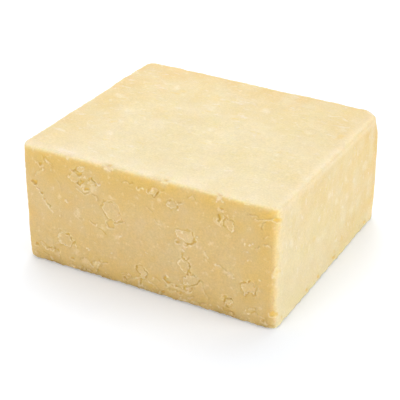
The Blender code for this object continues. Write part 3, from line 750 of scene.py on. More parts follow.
@dataclass(frozen=True)
class ScatteredTears:
    """Tears scattered by rule: over the two hidden torn sides, and small ones along the foot of all three.

    Numbers of small tears are for each millimetre of half the side's width.
    """

    # Flakes and pits as large as those of the solid: side, how many of each, half the side's width.
    seed: int = 15
    counts: tuple[tuple[Side, int, int, float], ...] = (
        (Side.BACK, 9, 8, HALF_LENGTH),
        (Side.LEFT, 5, 5, HALF_DEPTH),
    )
    margin: float = 7.0
    band: Place = (7.0, HEIGHT - 7.0)
    flake: DrawnOval = DrawnOval(Plate, (1.8, 3.8), (0.6, 0.9), ((0.0, 150.0),), (0.60, 0.32, 0.30, 0.50))
    pit: DrawnOval = DrawnOval(Pit, (0.9, 1.7), (0.5, 0.9), ((0.45, 0.80),))
    # Small marks between them.
    small_seed: int = 41
    small_margin: float = 3.0
    small_band: Place = (4.0, HEIGHT - 4.0)
    seams_each: float = 0.34
    seam_steps: int = 3
    seam_step: Place = (0.6, 1.3)
    seam_bend: Place = (-0.9, 0.9)
    seam_pale: Place = (0.4, 0.9)
    seam_gold: Place = (0.1, 0.7)
    chips_each: float = 0.30
    chip: DrawnOval = DrawnOval(Chip, (0.3, 0.8), (0.5, 0.8), place_first=True)
    stains_each: float = 0.22
    stain: DrawnOval = DrawnOval(Stain, (1.0, 2.2), (0.4, 0.8), ((0.25, 0.5),), place_first=True)
    # Share of the stains that are golden; the others are pale.
    stains_golden: float = 0.4
    # Crumbly marks along the foot.
    foot_seed: int = 43
    foot_margin: float = 2.5
    foot_band: Place = (0.9, 6.5)
    foot_seams_each: float = 0.55
    foot_seam_steps: int = 2
    foot_seam_run: Place = (0.5, 1.3)
    foot_seam_climb: Place = (-0.7, 0.7)
    foot_seam_pale: Place = (0.35, 0.8)
    foot_seam_gold: Place = (0.2, 0.9)
    foot_chips_each: float = 0.50
    foot_chip: DrawnOval = DrawnOval(Chip, (0.3, 0.75), (0.5, 0.8))
    foot_pits_each: float = 0.26
    foot_pit: DrawnOval = DrawnOval(Pit, (0.4, 0.9), (0.5, 0.9), ((0.4, 0.8),), (0.8, 0.5))

    def scattered(self) -> dict[Side, list[Tear]]:
        """Flakes and pits where the solid has them, then the small marks between them and along the foot.

        Returns:
            The tears of each torn side.
        """
        draws = np.random.default_rng(self.seed)
        tears: dict[Side, list[Tear]] = {Side.FRONT: []}
        for side, flakes, pits, half_width in self.counts:
            reach = half_width - self.margin
            tears[side] = [self.flake.tear(draws, reach, self.band) for _ in range(flakes)]
            tears[side] += [self.pit.tear(draws, reach, self.band) for _ in range(pits)]
        small = np.random.default_rng(self.small_seed)
        for side, _, _, half_width in self.counts:
            tears[side] += self.small_marks(small, half_width)
        low = np.random.default_rng(self.foot_seed)
        for side in TORN_SIDES:
            tears[side] += self.foot_marks(low, HALF_DEPTH if side is Side.LEFT else HALF_LENGTH)
        return tears

    @staticmethod
    def place(draws: np.random.Generator, reach: float, band: Place) -> Place:
        """A drawn place on a side, this far from its middle at most and within a band of heights."""
        return draws.uniform(-reach, reach), draws.uniform(*band)

    def small_marks(self, draws: np.random.Generator, half_width: float) -> list[Tear]:
        """Seams, chips and stains too small for the solid.

        Args:
            draws: Source of the draws.
            half_width: Half the width of the side.

        Returns:
            The marks.
        """
        marks: list[Tear] = []
        reach = half_width - self.small_margin
        for _ in range(round(half_width * self.seams_each)):
            across, up = self.place(draws, reach, self.small_band)
            heading = draws.uniform(0.0, math.tau)
            points = [(across, up)]
            for _ in range(self.seam_steps):
                heading += draws.uniform(*self.seam_bend)
                step = draws.uniform(*self.seam_step)
                across, up = across + step * math.cos(heading), up + step * math.sin(heading)
                points.append((across, up))
            pale, gold = draws.uniform(*self.seam_pale), draws.uniform(*self.seam_gold)
            marks.append(Seam(tuple(points), pale=pale, gold=gold))
        for _ in range(round(half_width * self.chips_each)):
            marks.append(self.chip.tear(draws, reach, self.small_band))
        for _ in range(round(half_width * self.stains_each)):
            stain = self.stain.tear(draws, reach, self.small_band)
            if draws.random() >= self.stains_golden:
                stain = replace(stain, gold=0.0, pale=stain.gold)
            marks.append(stain)
        return marks

    def foot_marks(self, draws: np.random.Generator, half_width: float) -> list[Tear]:
        """Crumbly seams, chips and pits low on a torn side.

        Args:
            draws: Source of the draws.
            half_width: Half the width of the side.

        Returns:
            The marks.
        """
        marks: list[Tear] = []
        reach = half_width - self.foot_margin
        for _ in range(round(half_width * self.foot_seams_each)):
            across, up = self.place(draws, reach, self.foot_band)
            points = [(across, up)]
            for _ in range(self.foot_seam_steps):
                across += draws.uniform(*self.foot_seam_run)
                up += draws.uniform(*self.foot_seam_climb)
                points.append((across, up))
            pale, gold = draws.uniform(*self.foot_seam_pale), draws.uniform(*self.foot_seam_gold)
            marks.append(Seam(tuple(points), pale=pale, gold=gold))
        for kind, each in ((self.foot_chip, self.foot_chips_each), (self.foot_pit, self.foot_pits_each)):
            marks += [kind.tear(draws, reach, self.foot_band) for _ in range(round(half_width * each))]
        return marks


@dataclass(frozen=True)
class BlockForm:
    """Form of the block in millimetres: where every point of a plain box goes, and the tints there."""

    # Corner, as the side of X, Y and Z that it is on, and how far it sits from a true box.
    corner_shifts: tuple[tuple[tuple[int, int, int], tuple[float, float, float]], ...] = (
        ((-1, -1, 0), (0.15, -0.15, 0.00)),
        ((1, -1, 0), (0.00, -0.45, 0.00)),
        ((1, 1, 0), (0.15, 0.60, 0.00)),
        ((-1, 1, 0), (0.00, 0.00, 0.00)),
        ((-1, -1, 1), (0.25, 0.40, 0.45)),
        ((1, -1, 1), (-0.20, 0.25, 0.50)),
        ((1, 1, 1), (0.00, -0.50, -1.05)),
        ((-1, 1, 1), (-0.05, -0.15, 0.05)),
    )
    # Upright edge, as the side of X and Y that it is on, and its radius in plan at foot, middle and top.
    upright_radii: tuple[tuple[tuple[int, int], tuple[float, float, float]], ...] = (
        ((-1, -1), (3.6, 2.8, 3.5)),
        ((1, -1), (2.9, 2.6, 3.0)),
        ((1, 1), (5.0, 3.8, 7.8)),
        ((-1, 1), (4.4, 3.8, 4.6)),
    )
    upright_end: float = 9.0
    # Rounding of the level edges: how far in and how far along the side, and how uneven it is.
    top_edge_in: float = 1.5
    top_edge_down: float = 1.15
    bottom_edge_in: float = 1.5
    bottom_edge_up: float = 1.3
    edge_ragged: float = 0.35
    ragged: LatticeNoise = LatticeNoise(13, 4.0)
    edge_crumbled: float = 0.20
    foot_crumbled: float = 0.24
    crumbled: LatticeNoise = LatticeNoise(14, 1.0)
    # Small bites out of the torn sides' edges: how deep, how much deeper low down, and how far from the edge.
    frayed_depth: float = 0.26
    frayed_foot: float = 0.26
    frayed_reach: float = 1.7
    frayed_from: Place = (0.05, 0.75)
    frayed: LatticeNoise = LatticeNoise(15, 0.85)
    # Broad swell of the sides and the lie of the curds, which fade out towards the flat underside.
    swell_depth: float = 0.22
    swell: LatticeNoise = LatticeNoise(11, 21.0)
    curd_depth: float = 0.07
    curd: LatticeNoise = LatticeNoise(12, 4.3)
    wave_start: float = 1.5
    wave_full: float = 5.0
    # How squarely a point has to face out of a side to count as half on it, and as fully on it.
    facing_range: Place = (0.45, 0.90)
    # Nicks in the front top edge: place along X, half width, depth.
    nicks: tuple[tuple[float, float, float], ...] = (
        (-14.2, 1.3, 1.2), (7.6, 1.5, 1.2), (28.1, 1.2, 1.2), (-30.0, 1.0, 0.5), (38.3, 1.1, 0.5),
    )
    nick_reach: float = 1.8
    nick_facing: Place = (0.10, 0.50)
    # Waver of every tear's outline: how far, and over what distance.
    waver: tuple[tuple[float, LatticeNoise, LatticeNoise], ...] = (
        (0.34, LatticeNoise(21, 1.7), LatticeNoise(22, 1.7)),
        (0.26, LatticeNoise(23, 0.9), LatticeNoise(24, 0.9)),
    )
    fray: LatticeNoise = LatticeNoise(25, 0.62)
    # Where cracks and rims are broken off.
    breaks: LatticeNoise = LatticeNoise(26, 1.5)
    whole_from: Place = (-0.70, 0.00)
    tear_margin: float = 2.0

    def tears(self) -> dict[Side, tuple[Tear, ...]]:
        """Every tear, chip, seam and stain.

        Returns:
            The marks of each side.
        """
        marks: dict[Side, tuple[Tear, ...]] = {
            Side.FRONT: (FRONT_PLATES + FRONT_PITS + FRONT_OVAL_PITS + FRONT_SEAMS + FRONT_CHIPS
                         + FRONT_STAINS),
            Side.TOP: TOP_STAINS,
            Side.RIGHT: RIGHT_STAINS + RIGHT_PITS,
        }
        for side, scattered in ScatteredTears().scattered().items():
            marks[side] = marks.get(side, ()) + tuple(scattered)
        return marks

    @staticmethod
    def places_on(points: Array, side: Side) -> Array:
        """Place of every point on a side.

        Args:
            points: Points in millimetres.
            side: The side.

        Returns:
            Distance across the side and height up it; up is Y on the top.
        """
        if side.axis == 0:
            return points[:, 1:]
        return points[:, [0, 2]] if side.axis == 1 else points[:, :2]

    def wavered(self, points: Array, side: Side) -> Array:
        """Place of every point on a side, moved by the waver that all outlines take.

        Args:
            points: Points in millimetres.
            side: The side.

        Returns:
            Across and up, one row each.
        """
        places = self.places_on(points, side).copy()
        for size, wave_across, wave_up in self.waver:
            places[:, 0] += size * wave_across.at(points)
            places[:, 1] += size * wave_up.at(points)
        return places

    def facing(self, normals: Array, side: Side) -> Array:
        """How squarely every normal faces out of a side, from 0 to 1."""
        return smooth_step(*self.facing_range, normals[:, side.axis] * side.way)

    def upright_radius(self, points: Array) -> Array:
        """Radius in plan of the upright edge in each point's quarter of the block.

        Args:
            points: Points on the plain box.

        Returns:
            The radius at every point's height.
        """
        at_foot = 1.0 - smooth_step(0.0, self.upright_end, points[:, 2])
        at_top = 1.0 - smooth_step(0.0, self.upright_end, HEIGHT - points[:, 2])
        radii = np.zeros(len(points))
        for (x_side, y_side), (foot, middle, top) in self.upright_radii:
            mine = ((points[:, 0] >= 0) == (x_side > 0)) & ((points[:, 1] >= 0) == (y_side > 0))
            radii[mine] = (middle + (foot - middle) * at_foot + (top - middle) * at_top)[mine]
        return radii

    def round_edges(self, points: Array) -> tuple[Array, Array]:
        """Round the box's edges.

        Args:
            points: Points on the plain box.

        Returns:
            The points on the rounded box, and the outward normal at each.
        """
        radius = self.upright_radius(points)
        reach = np.stack([HALF_LENGTH - radius, HALF_DEPTH - radius], axis=1)
        core = np.clip(points[:, :2], -reach, reach)
        out = points[:, :2] - core
        far = np.abs(out).max(axis=1)
        length = np.maximum(np.hypot(out[:, 0], out[:, 1]), NEAR_ZERO)
        heading = out / length[:, None]
        inset = radius - far

        crumbled = self.edge_crumbled + self.foot_crumbled * (points[:, 2] < HEIGHT / 2.0)
        ragged = 1.0 + self.edge_ragged * self.ragged.at(points) + crumbled * self.crumbled.at(points)
        side_part = np.ones(len(points))
        top_part = np.zeros(len(points))
        height = points[:, 2].copy()
        edges = (
            (self.top_edge_in, self.top_edge_down, 1.0),
            (self.bottom_edge_in, self.bottom_edge_up, -1.0),
        )
        new_inset = inset.copy()
        for edge_in, edge_along, way in edges:
            wide = edge_in * ragged
            tall = edge_along * ragged
            gap = HEIGHT - points[:, 2] if way > 0 else points[:, 2]
            on_flat = gap < NEAR_ZERO
            side_part[on_flat] = 0.0
            top_part[on_flat] = way
            near = (inset < wide) & (gap < tall)
            reach_in = (wide - inset) / wide
            reach_along = (tall - gap) / tall
            size = np.maximum(np.hypot(reach_in, reach_along), NEAR_ZERO)
            share_in, share_along = reach_in / size, reach_along / size
            new_inset = np.where(near, wide * (1.0 - share_in), new_inset)
            new_gap = tall * (1.0 - share_along)
            height = np.where(near, HEIGHT - new_gap if way > 0 else new_gap, height)
            side_part = np.where(near, share_in, side_part)
            top_part = np.where(near, way * share_along, top_part)

        moved = far > NEAR_ZERO
        plan = np.where(moved[:, None], core + heading * (radius - new_inset)[:, None], points[:, :2])
        rounded = np.column_stack([plan, height])
        normals = np.column_stack([heading * side_part[:, None], top_part])
        size = np.maximum(np.linalg.norm(normals, axis=1), NEAR_ZERO)
        return rounded, normals / size[:, None]

    def nick_relief(self, points: Array, normals: Array) -> Array:
        """Depth of the nicks in the front top edge.

        Args:
            points: Points on the rounded box.
            normals: Outward normals there.

        Returns:
            Heights in millimetres, 0 or less.
        """
        near_edge = np.hypot(points[:, 1] + HALF_DEPTH, HEIGHT - points[:, 2]) / self.nick_reach
        total = np.zeros(len(points))
        for place, half_width, depth in self.nicks:
            total -= depth * np.exp(-(((points[:, 0] - place) / half_width) ** 2) - near_edge**2)
        return total * smooth_step(*self.nick_facing, np.maximum(-normals[:, 1], normals[:, 2]))

    def edge_relief(self, points: Array, rounded: Array, normals: Array) -> Array:
        """Small bites out of the edges of the torn sides.

        Args:
            points: Points on the plain box.
            rounded: The same points on the rounded box.
            normals: Outward normals there.

        Returns:
            Heights in millimetres.
        """
        gaps = np.stack([distance_to(points, side) for side in Side], axis=1)
        close = np.exp(-((np.sort(gaps, axis=1)[:, 1] / self.frayed_reach) ** 2))
        torn = np.clip(sum(self.facing(normals, side) for side in TORN_SIDES), 0.0, 1.0)
        depth = self.frayed_depth + self.frayed_foot * (points[:, 2] < HEIGHT / 2.0)
        return -depth * close * torn * smooth_step(*self.frayed_from, self.frayed.at(rounded))

    def lean(self, points: Array) -> Array:
        """Shift every point by the shifts of the eight corners around it.

        Args:
            points: Points in millimetres.

        Returns:
            The shifted points.
        """
        shares = points / (LENGTH, DEPTH, HEIGHT) + (0.5, 0.5, 0.0)
        shift = np.zeros_like(points)
        for corner, move in self.corner_shifts:
            weight = np.ones(len(points))
            for axis, way in enumerate(corner):
                weight = weight * (shares[:, axis] if way > 0 else 1.0 - shares[:, axis])
            shift += weight[:, None] * np.array(move)
        return points + shift

    def marks(self, points: Array, normals: Array) -> Mark:
        """Relief and tints of all the tears.

        Args:
            points: Points on the rounded box.
            normals: Outward normals there.

        Returns:
            The marks at every point.
        """
        total = Mark.blank(len(points))
        for side, tears in self.tears().items():
            facing = self.facing(normals, side)
            mine = np.flatnonzero(facing > 0.0)
            places = self.wavered(points[mine], side)
            whole = smooth_step(*self.whole_from, self.breaks.at(points[mine]))
            spots = Spots(places, self.fray.at(points[mine]), whole)
            found = Mark.blank(len(mine))
            for tear in tears:
                near = tear.close_to(places, self.tear_margin)
                found.add(near, tear.mark(spots.take(near)))
            total.add(mine, found.weighted(facing[mine]))
        return total

    def shape(self, points: Array) -> tuple[Array, Array, Mark]:
        """Take points of the plain box to the finished surface.

        Args:
            points: Points on the plain box.

        Returns:
            The finished points, the normals of the rounded box, and the marks there.
        """
        rounded, normals = self.round_edges(points)
        swell = self.swell_depth * self.swell.at(rounded) + self.curd_depth * self.curd.at(rounded)
        height = swell * smooth_step(self.wave_start, self.wave_full, rounded[:, 2])
        marks = self.marks(rounded, normals)
        edges = self.nick_relief(rounded, normals), self.edge_relief(points, rounded, normals)
        height += marks.height + edges[0] + edges[1]
        height *= smooth_step(0.0, self.wave_start, rounded[:, 2])
        return self.lean(rounded + normals * height[:, None]), normals, marks


@dataclass
class GradedBox:
    """Box skin of triangles, finest along the outlines of the tears."""

    form: BlockForm
    cells: tuple[int, int, int] = (22, 20, 10)
    # Longest edge allowed on each side, away from its tears.
    coarse: tuple[tuple[Side, float], ...] = (
        (Side.FRONT, 0.60),
        (Side.BACK, 1.20),
        (Side.LEFT, 1.20),
        (Side.RIGHT, 1.70),
        (Side.TOP, 1.70),
        (Side.BASE, 4.60),
    )
    # Longest edge at the tears of the front and of the other sides, and how far out from their outlines.
    fine_front: float = 0.30
    fine_hidden: float = 0.81
    rim_band: float = 0.60
    # Longest edge along the block's own edges, and how far from them.
    edge_step: float = 0.86
    front_edge_step: float = 0.60
    edge_band: float = 2.3
    base_band: float = 1.6
    on_side: float = 1e-6
    rounds: int = 40
    # Lengths closer than this many decimals count as the same.
    decimals: int = 6

    def start(self) -> tuple[Array, Numbers]:
        """Plain grid on the box, two triangles to a cell.

        Returns:
            The points, and the corners of the triangles.
        """
        size = np.array([LENGTH, DEPTH, HEIGHT])
        origin = np.array([-HALF_LENGTH, -HALF_DEPTH, 0.0])
        faces = []
        places: dict[tuple[int, int, int], int] = {}

        def corner(index: tuple[int, int, int]) -> int:
            """Number of a grid point, the same for all the cells that share it."""
            return places.setdefault(index, len(places))

        for side in Side:
            first, second = [axis for axis in range(3) if axis != side.axis]
            level = self.cells[side.axis] if side.way > 0 else 0
            turned = (side.way > 0) == (side.axis != 1)
            for i in range(self.cells[first]):
                for j in range(self.cells[second]):
                    ring = []
                    for di, dj in ((0, 0), (1, 0), (1, 1), (0, 1)):
                        index = [0, 0, 0]
                        index[side.axis], index[first], index[second] = level, i + di, j + dj
                        ring.append(corner((index[0], index[1], index[2])))
                    ring = ring if turned else ring[::-1]
                    faces += [(ring[0], ring[1], ring[2]), (ring[0], ring[2], ring[3])]
        points = np.array(list(places), float) / self.cells * size + origin
        return points, np.array(faces)

    def wanted(self, centres: Array) -> Array:
        """Longest edge wanted at every triangle.

        Args:
            centres: Middles of the triangles.

        Returns:
            Lengths in millimetres.
        """
        low = np.array([-HALF_LENGTH, -HALF_DEPTH, 0.0])
        high = np.array([HALF_LENGTH, HALF_DEPTH, HEIGHT])
        gaps = np.concatenate([centres - low, high - centres], axis=1)
        nearest_two = np.sort(gaps, axis=1)[:, 1]
        wanted = np.full(len(centres), np.inf)
        marks = self.form.tears()
        for side, coarse in self.coarse:
            column = side.axis + (3 if side.way > 0 else 0)
            on_side = np.flatnonzero(gaps[:, column] < self.on_side)
            step = np.full(len(on_side), coarse)
            places = self.form.wavered(centres[on_side], side)
            fine = self.fine_front if side is Side.FRONT else self.fine_hidden
            for tear in marks.get(side, ()):
                if isinstance(tear, Stain):
                    continue
                near = tear.close_to(places, self.rim_band)
                if isinstance(tear, Plate) and len(near):
                    near = near[np.abs(tear.distance(places[near])) < self.rim_band]
                step[near] = np.minimum(step[near], fine)
            wanted[on_side] = step
        band = np.where(centres[:, 2] > NEAR_ZERO, self.edge_band, self.base_band)
        step = np.where(gaps[:, 1] < self.edge_band, self.front_edge_step, self.edge_step)
        return np.where(nearest_two < band, np.minimum(wanted, step), wanted)

    def refined(self) -> tuple[Array, Numbers]:
        """Split the longest edges until every triangle is as small as wanted.

        Returns:
            The points on the plain box, and the corners of the triangles.
        """
        points, faces = self.start()
        for _ in range(self.rounds):
            ends = points[faces]
            lengths = np.linalg.norm(ends - np.roll(ends, -1, axis=1), axis=2)
            longest = np.argmax(np.round(lengths, self.decimals), axis=1)
            too_long = lengths.max(axis=1) > self.wanted(ends.mean(axis=1))
            if not too_long.any():
                break
            turn = (longest[:, None] + np.arange(3)) % 3
            faces = np.take_along_axis(faces, turn, axis=1)
            pairs = np.sort(np.stack([faces, np.roll(faces, -1, axis=1)], axis=2), axis=2)
            keys = pairs[:, :, 0] * len(points) + pairs[:, :, 1]
            unique, ids = np.unique(keys, return_inverse=True)
            ids = ids.reshape(keys.shape)
            split = np.zeros(len(unique), bool)
            split[ids[too_long, 0]] = True
            while True:
                lagging = split[ids].any(axis=1) & ~split[ids[:, 0]]
                if not lagging.any():
                    break
                split[ids[lagging, 0]] = True
            chosen = unique[split]
            middles = (points[chosen // len(points)] + points[chosen % len(points)]) / 2.0
            number = np.full(len(unique), -1)
            number[split] = len(points) + np.arange(len(chosen))
            faces = self.split_faces(faces, number[ids])
            points = np.vstack([points, middles])
        return points, faces

    @staticmethod
    def split_faces(faces: Numbers, new: Numbers) -> Numbers:
        """Cut every triangle whose longest edge has a new point.

        Args:
            faces: Corners, the longest edge from the first to the second.
            new: Number of the new point on each edge, or -1.

        Returns:
            All the triangles, cut or whole.
        """
        first, second, third = faces.T
        on_long, on_second, on_third = new.T
        cut = on_long >= 0
        rows = (
            (~cut, (first, second, third)),
            (cut & (on_third < 0), (first, on_long, third)),
            (cut & (on_third >= 0), (first, on_long, on_third)),
            (cut & (on_third >= 0), (on_long, third, on_third)),
            (cut & (on_second < 0), (on_long, second, third)),
            (cut & (on_second >= 0), (on_long, second, on_second)),
            (cut & (on_second >= 0), (on_long, on_second, third)),
        )
        return np.concatenate([np.stack(corners, axis=1)[chosen] for chosen, corners in rows])


@dataclass(frozen=True)
class EdgeTint:
    """How golden or pale a side is painted towards one of its edges, standing in for the light and shade
    there.
    """

    side: Side
    toward: Side
    width: float
    # Share of painted golden shading.
    painted_edge_shading: float = 0.0
    # Share of painted highlight.
    pale: float = 0.0
    # Share of painted shade.
    painted_shade: float = 0.0
    # Share of painted light.
    bright: float = 0.0


# Side, the side it turns towards, and the width of each tint there with its shares of painted golden shading,
# painted highlight, painted shade and painted light, in that order.
EDGE_TINTS = tuple(EdgeTint(side, toward, *row) for side, toward, rows in (
    (Side.TOP, Side.BACK, ((9.0, 0.36), (30.0, 0.32))),
    (Side.TOP, Side.LEFT, ((18.0, 0.42),)),
    (Side.TOP, Side.RIGHT, ((12.0, 0.16), (4.0, 0.0, 0.75))),
    (Side.TOP, Side.FRONT, ((16.0, 0.0, 0.36), (6.5, 0.0, 0.64), (2.4, 0.0, 0.74))),
    (Side.FRONT, Side.LEFT, ((4.0, 0.60),)),
    (Side.FRONT, Side.BASE, ((10.0, 0.62, 0.0, 0.07), (3.2, 0.0, 0.0, 0.32), (0.9, 0.0, 0.0, 0.36))),
    (Side.FRONT, Side.TOP, ((10.0, 0.95, 0.0, 0.03), (3.4, 0.0, 0.0, 0.0, 0.9))),
    (Side.FRONT, Side.RIGHT, ((14.0, 0.62), (3.0, 0.0, 0.0, 0.0, 0.6))),
    (Side.RIGHT, Side.BACK, ((9.0, 0.35), (32.0, 0.30), (70.0, 0.28))),
    (Side.RIGHT, Side.TOP, ((17.0, 0.33, 0.0, 0.045), (1.8, 0.0, 0.60))),
    (Side.RIGHT, Side.BASE, ((6.0, 0.0, 0.0, 0.0, 0.7), (12.0, 0.06))),
    (Side.RIGHT, Side.FRONT, ((9.0, 0.0, 0.25),)),
    (Side.BACK, Side.LEFT, ((4.0, 0.30),)),
    (Side.BACK, Side.RIGHT, ((5.0, 0.50),)),
    (Side.BACK, Side.TOP, ((4.5, 0.60),)),
    (Side.BACK, Side.BASE, ((7.0, 0.60, 0.0, 0.10),)),
    (Side.LEFT, Side.FRONT, ((4.0, 0.50),)),
    (Side.LEFT, Side.BACK, ((4.0, 0.30),)),
    (Side.LEFT, Side.TOP, ((4.5, 0.60),)),
    (Side.LEFT, Side.BASE, ((7.0, 0.60, 0.0, 0.10),)),
) for row in rows)
# Painted highlight along edges: the two sides that meet, how far the highlight reaches, how strong it is.
PAINTED_HIGHLIGHT_EDGES = (
    (Side.FRONT, Side.TOP, 1.0, 0.85),
    (Side.RIGHT, Side.TOP, 2.0, 0.40),
    (Side.FRONT, Side.RIGHT, 1.8, 0.45),
    (Side.BACK, Side.TOP, 1.4, 0.45),
    (Side.LEFT, Side.TOP, 1.4, 0.45),
)


def distance_to(points: Array, side: Side) -> Array:
    """Distance of every point from a side of the plain box.

    Args:
        points: Points on the plain box.
        side: The side.

    Returns:
        Distances in millimetres.
    """
    if side.axis == 2:
        return HEIGHT - points[:, 2] if side is Side.TOP else points[:, 2]
    half = HALF_LENGTH if side.axis == 0 else HALF_DEPTH
    return half - points[:, side.axis] * side.way


@dataclass(frozen=True)
class Pattern:
    """Settings of a Noise Texture, and how far it is moved, so that patterns of one size don't coincide."""

    scale: float
    detail: float = 2.0
    roughness: float = 0.5
    distortion: float = 0.0
    moved: Colour | None = None


class Graph:
    """Short way to build a node tree."""

    MIX_FACTOR = 0
    MIX_COLOURS = (6, 7)
    MIX_RESULT = 2
    RANDOM_RANGE = (2, 3)
    RANDOM_RESULT = 1

    def __init__(self, tree: bpy.types.NodeTree) -> None:
        """Keep the tree that is built."""
        self.tree = tree

    def node(self, kind: str, **settings: object) -> bpy.types.Node:
        """Add a node.

        Args:
            kind: Its type.
            settings: Properties to set on it.

        Returns:
            The new node.
        """
        made = self.tree.nodes.new(kind)
        for name, value in settings.items():
            setattr(made, name, value)
        return made

    def feed(self, socket: Socket, source: object) -> None:
        """Give an input its value.

        Args:
            socket: The input.
            source: Socket to link it to, or a plain value.
        """
        if isinstance(source, Socket):
            self.tree.links.new(source, socket)
        else:
            socket.default_value = source

    def fed(self, kind: str, inputs: dict[str, object], **settings: object) -> bpy.types.Node:
        """Add a node and give its inputs their values.

        Args:
            kind: Its type.
            inputs: Socket or plain value of each named input.
            settings: Properties to set on it.

        Returns:
            The new node.
        """
        made = self.node(kind, **settings)
        for name, source in inputs.items():
            self.feed(made.inputs[name], source)
        return made

    def filled(self, made: bpy.types.Node, sources: tuple[object, ...]) -> Socket:
        """Give a node's first inputs their values.

        Args:
            made: The node.
            sources: Sockets or plain values, in the order of its inputs.

        Returns:
            The node's first output.
        """
        for socket, source in zip(made.inputs, sources):
            self.feed(socket, source)
        return made.outputs[0]

    def math(self, operation: str, *sources: object) -> Socket:
        """Result of a Math node on these sockets or numbers."""
        return self.filled(self.node("ShaderNodeMath", operation=operation), sources)

    def vector_math(self, operation: str, *sources: object) -> Socket:
        """Result of a Vector Math node on these sockets or values."""
        return self.filled(self.node("ShaderNodeVectorMath", operation=operation), sources)

    def scaled(self, vector: object, factor: object) -> Socket:
        """A vector or colour times a number."""
        made = self.fed("ShaderNodeVectorMath", {"Vector": vector, "Scale": factor}, operation="SCALE")
        return made.outputs[0]

    def noise(self, place: Socket, pattern: Pattern, scale: Socket | None = None) -> bpy.types.Node:
        """Add a Noise Texture.

        Args:
            place: Coordinates that it reads.
            pattern: Its settings.
            scale: Scale to use in place of the pattern's own.

        Returns:
            The new node.
        """
        vector = place if pattern.moved is None else self.vector_math("ADD", place, pattern.moved)
        return self.fed("ShaderNodeTexNoise", {
            "Vector": vector, "Scale": pattern.scale if scale is None else scale, "Detail": pattern.detail,
            "Roughness": pattern.roughness, "Distortion": pattern.distortion,
        })

    def wave(self, place: Socket, pattern: Pattern, scale: Socket | None = None) -> Socket:
        """Value of a Noise Texture with these settings."""
        return self.noise(place, pattern, scale).outputs["Fac"]

    def ease(self, source: Socket, *limits: float) -> Socket:
        """The source taken smoothly from one range to another: low, high, what they become if not 0 and 1."""
        made = self.node("ShaderNodeMapRange", interpolation_type="SMOOTHSTEP")
        return self.filled(made, (source, *limits))

    def mix(self, share: object, first: object, second: object) -> Socket:
        """Mix two colours.

        Args:
            share: How much of the second is taken.
            first: Socket or colour.
            second: Socket or colour.

        Returns:
            The mixed colour.
        """
        made = self.node("ShaderNodeMix", data_type="RGBA")
        self.feed(made.inputs[self.MIX_FACTOR], share)
        for place, source in zip(self.MIX_COLOURS, (first, second)):
            self.feed(made.inputs[place], (*source, 1.0) if isinstance(source, tuple) else source)
        return made.outputs[self.MIX_RESULT]

    def random(self, low: object, high: object, seed: object) -> Socket:
        """Draw a number for every crumb.

        Args:
            low: Least that it may be.
            high: Most that it may be.
            seed: Seed of the draw.

        Returns:
            The number.
        """
        made = self.fed("FunctionNodeRandomValue", {"Seed": seed}, data_type="FLOAT")
        for place, source in zip(self.RANDOM_RANGE, (low, high)):
            self.feed(made.inputs[place], source)
        return made.outputs[self.RANDOM_RESULT]

    def attribute(self, name: str) -> Socket:
        """Value of a named attribute of the mesh, in a material."""
        return self.node("ShaderNodeAttribute", attribute_name=name).outputs["Fac"]

    def held(self, name: str) -> Socket:
        """Value of a named attribute of the mesh, in a Geometry Nodes tree."""
        made = self.fed("GeometryNodeInputNamedAttribute", {"Name": name}, data_type="FLOAT")
        return made.outputs["Attribute"]


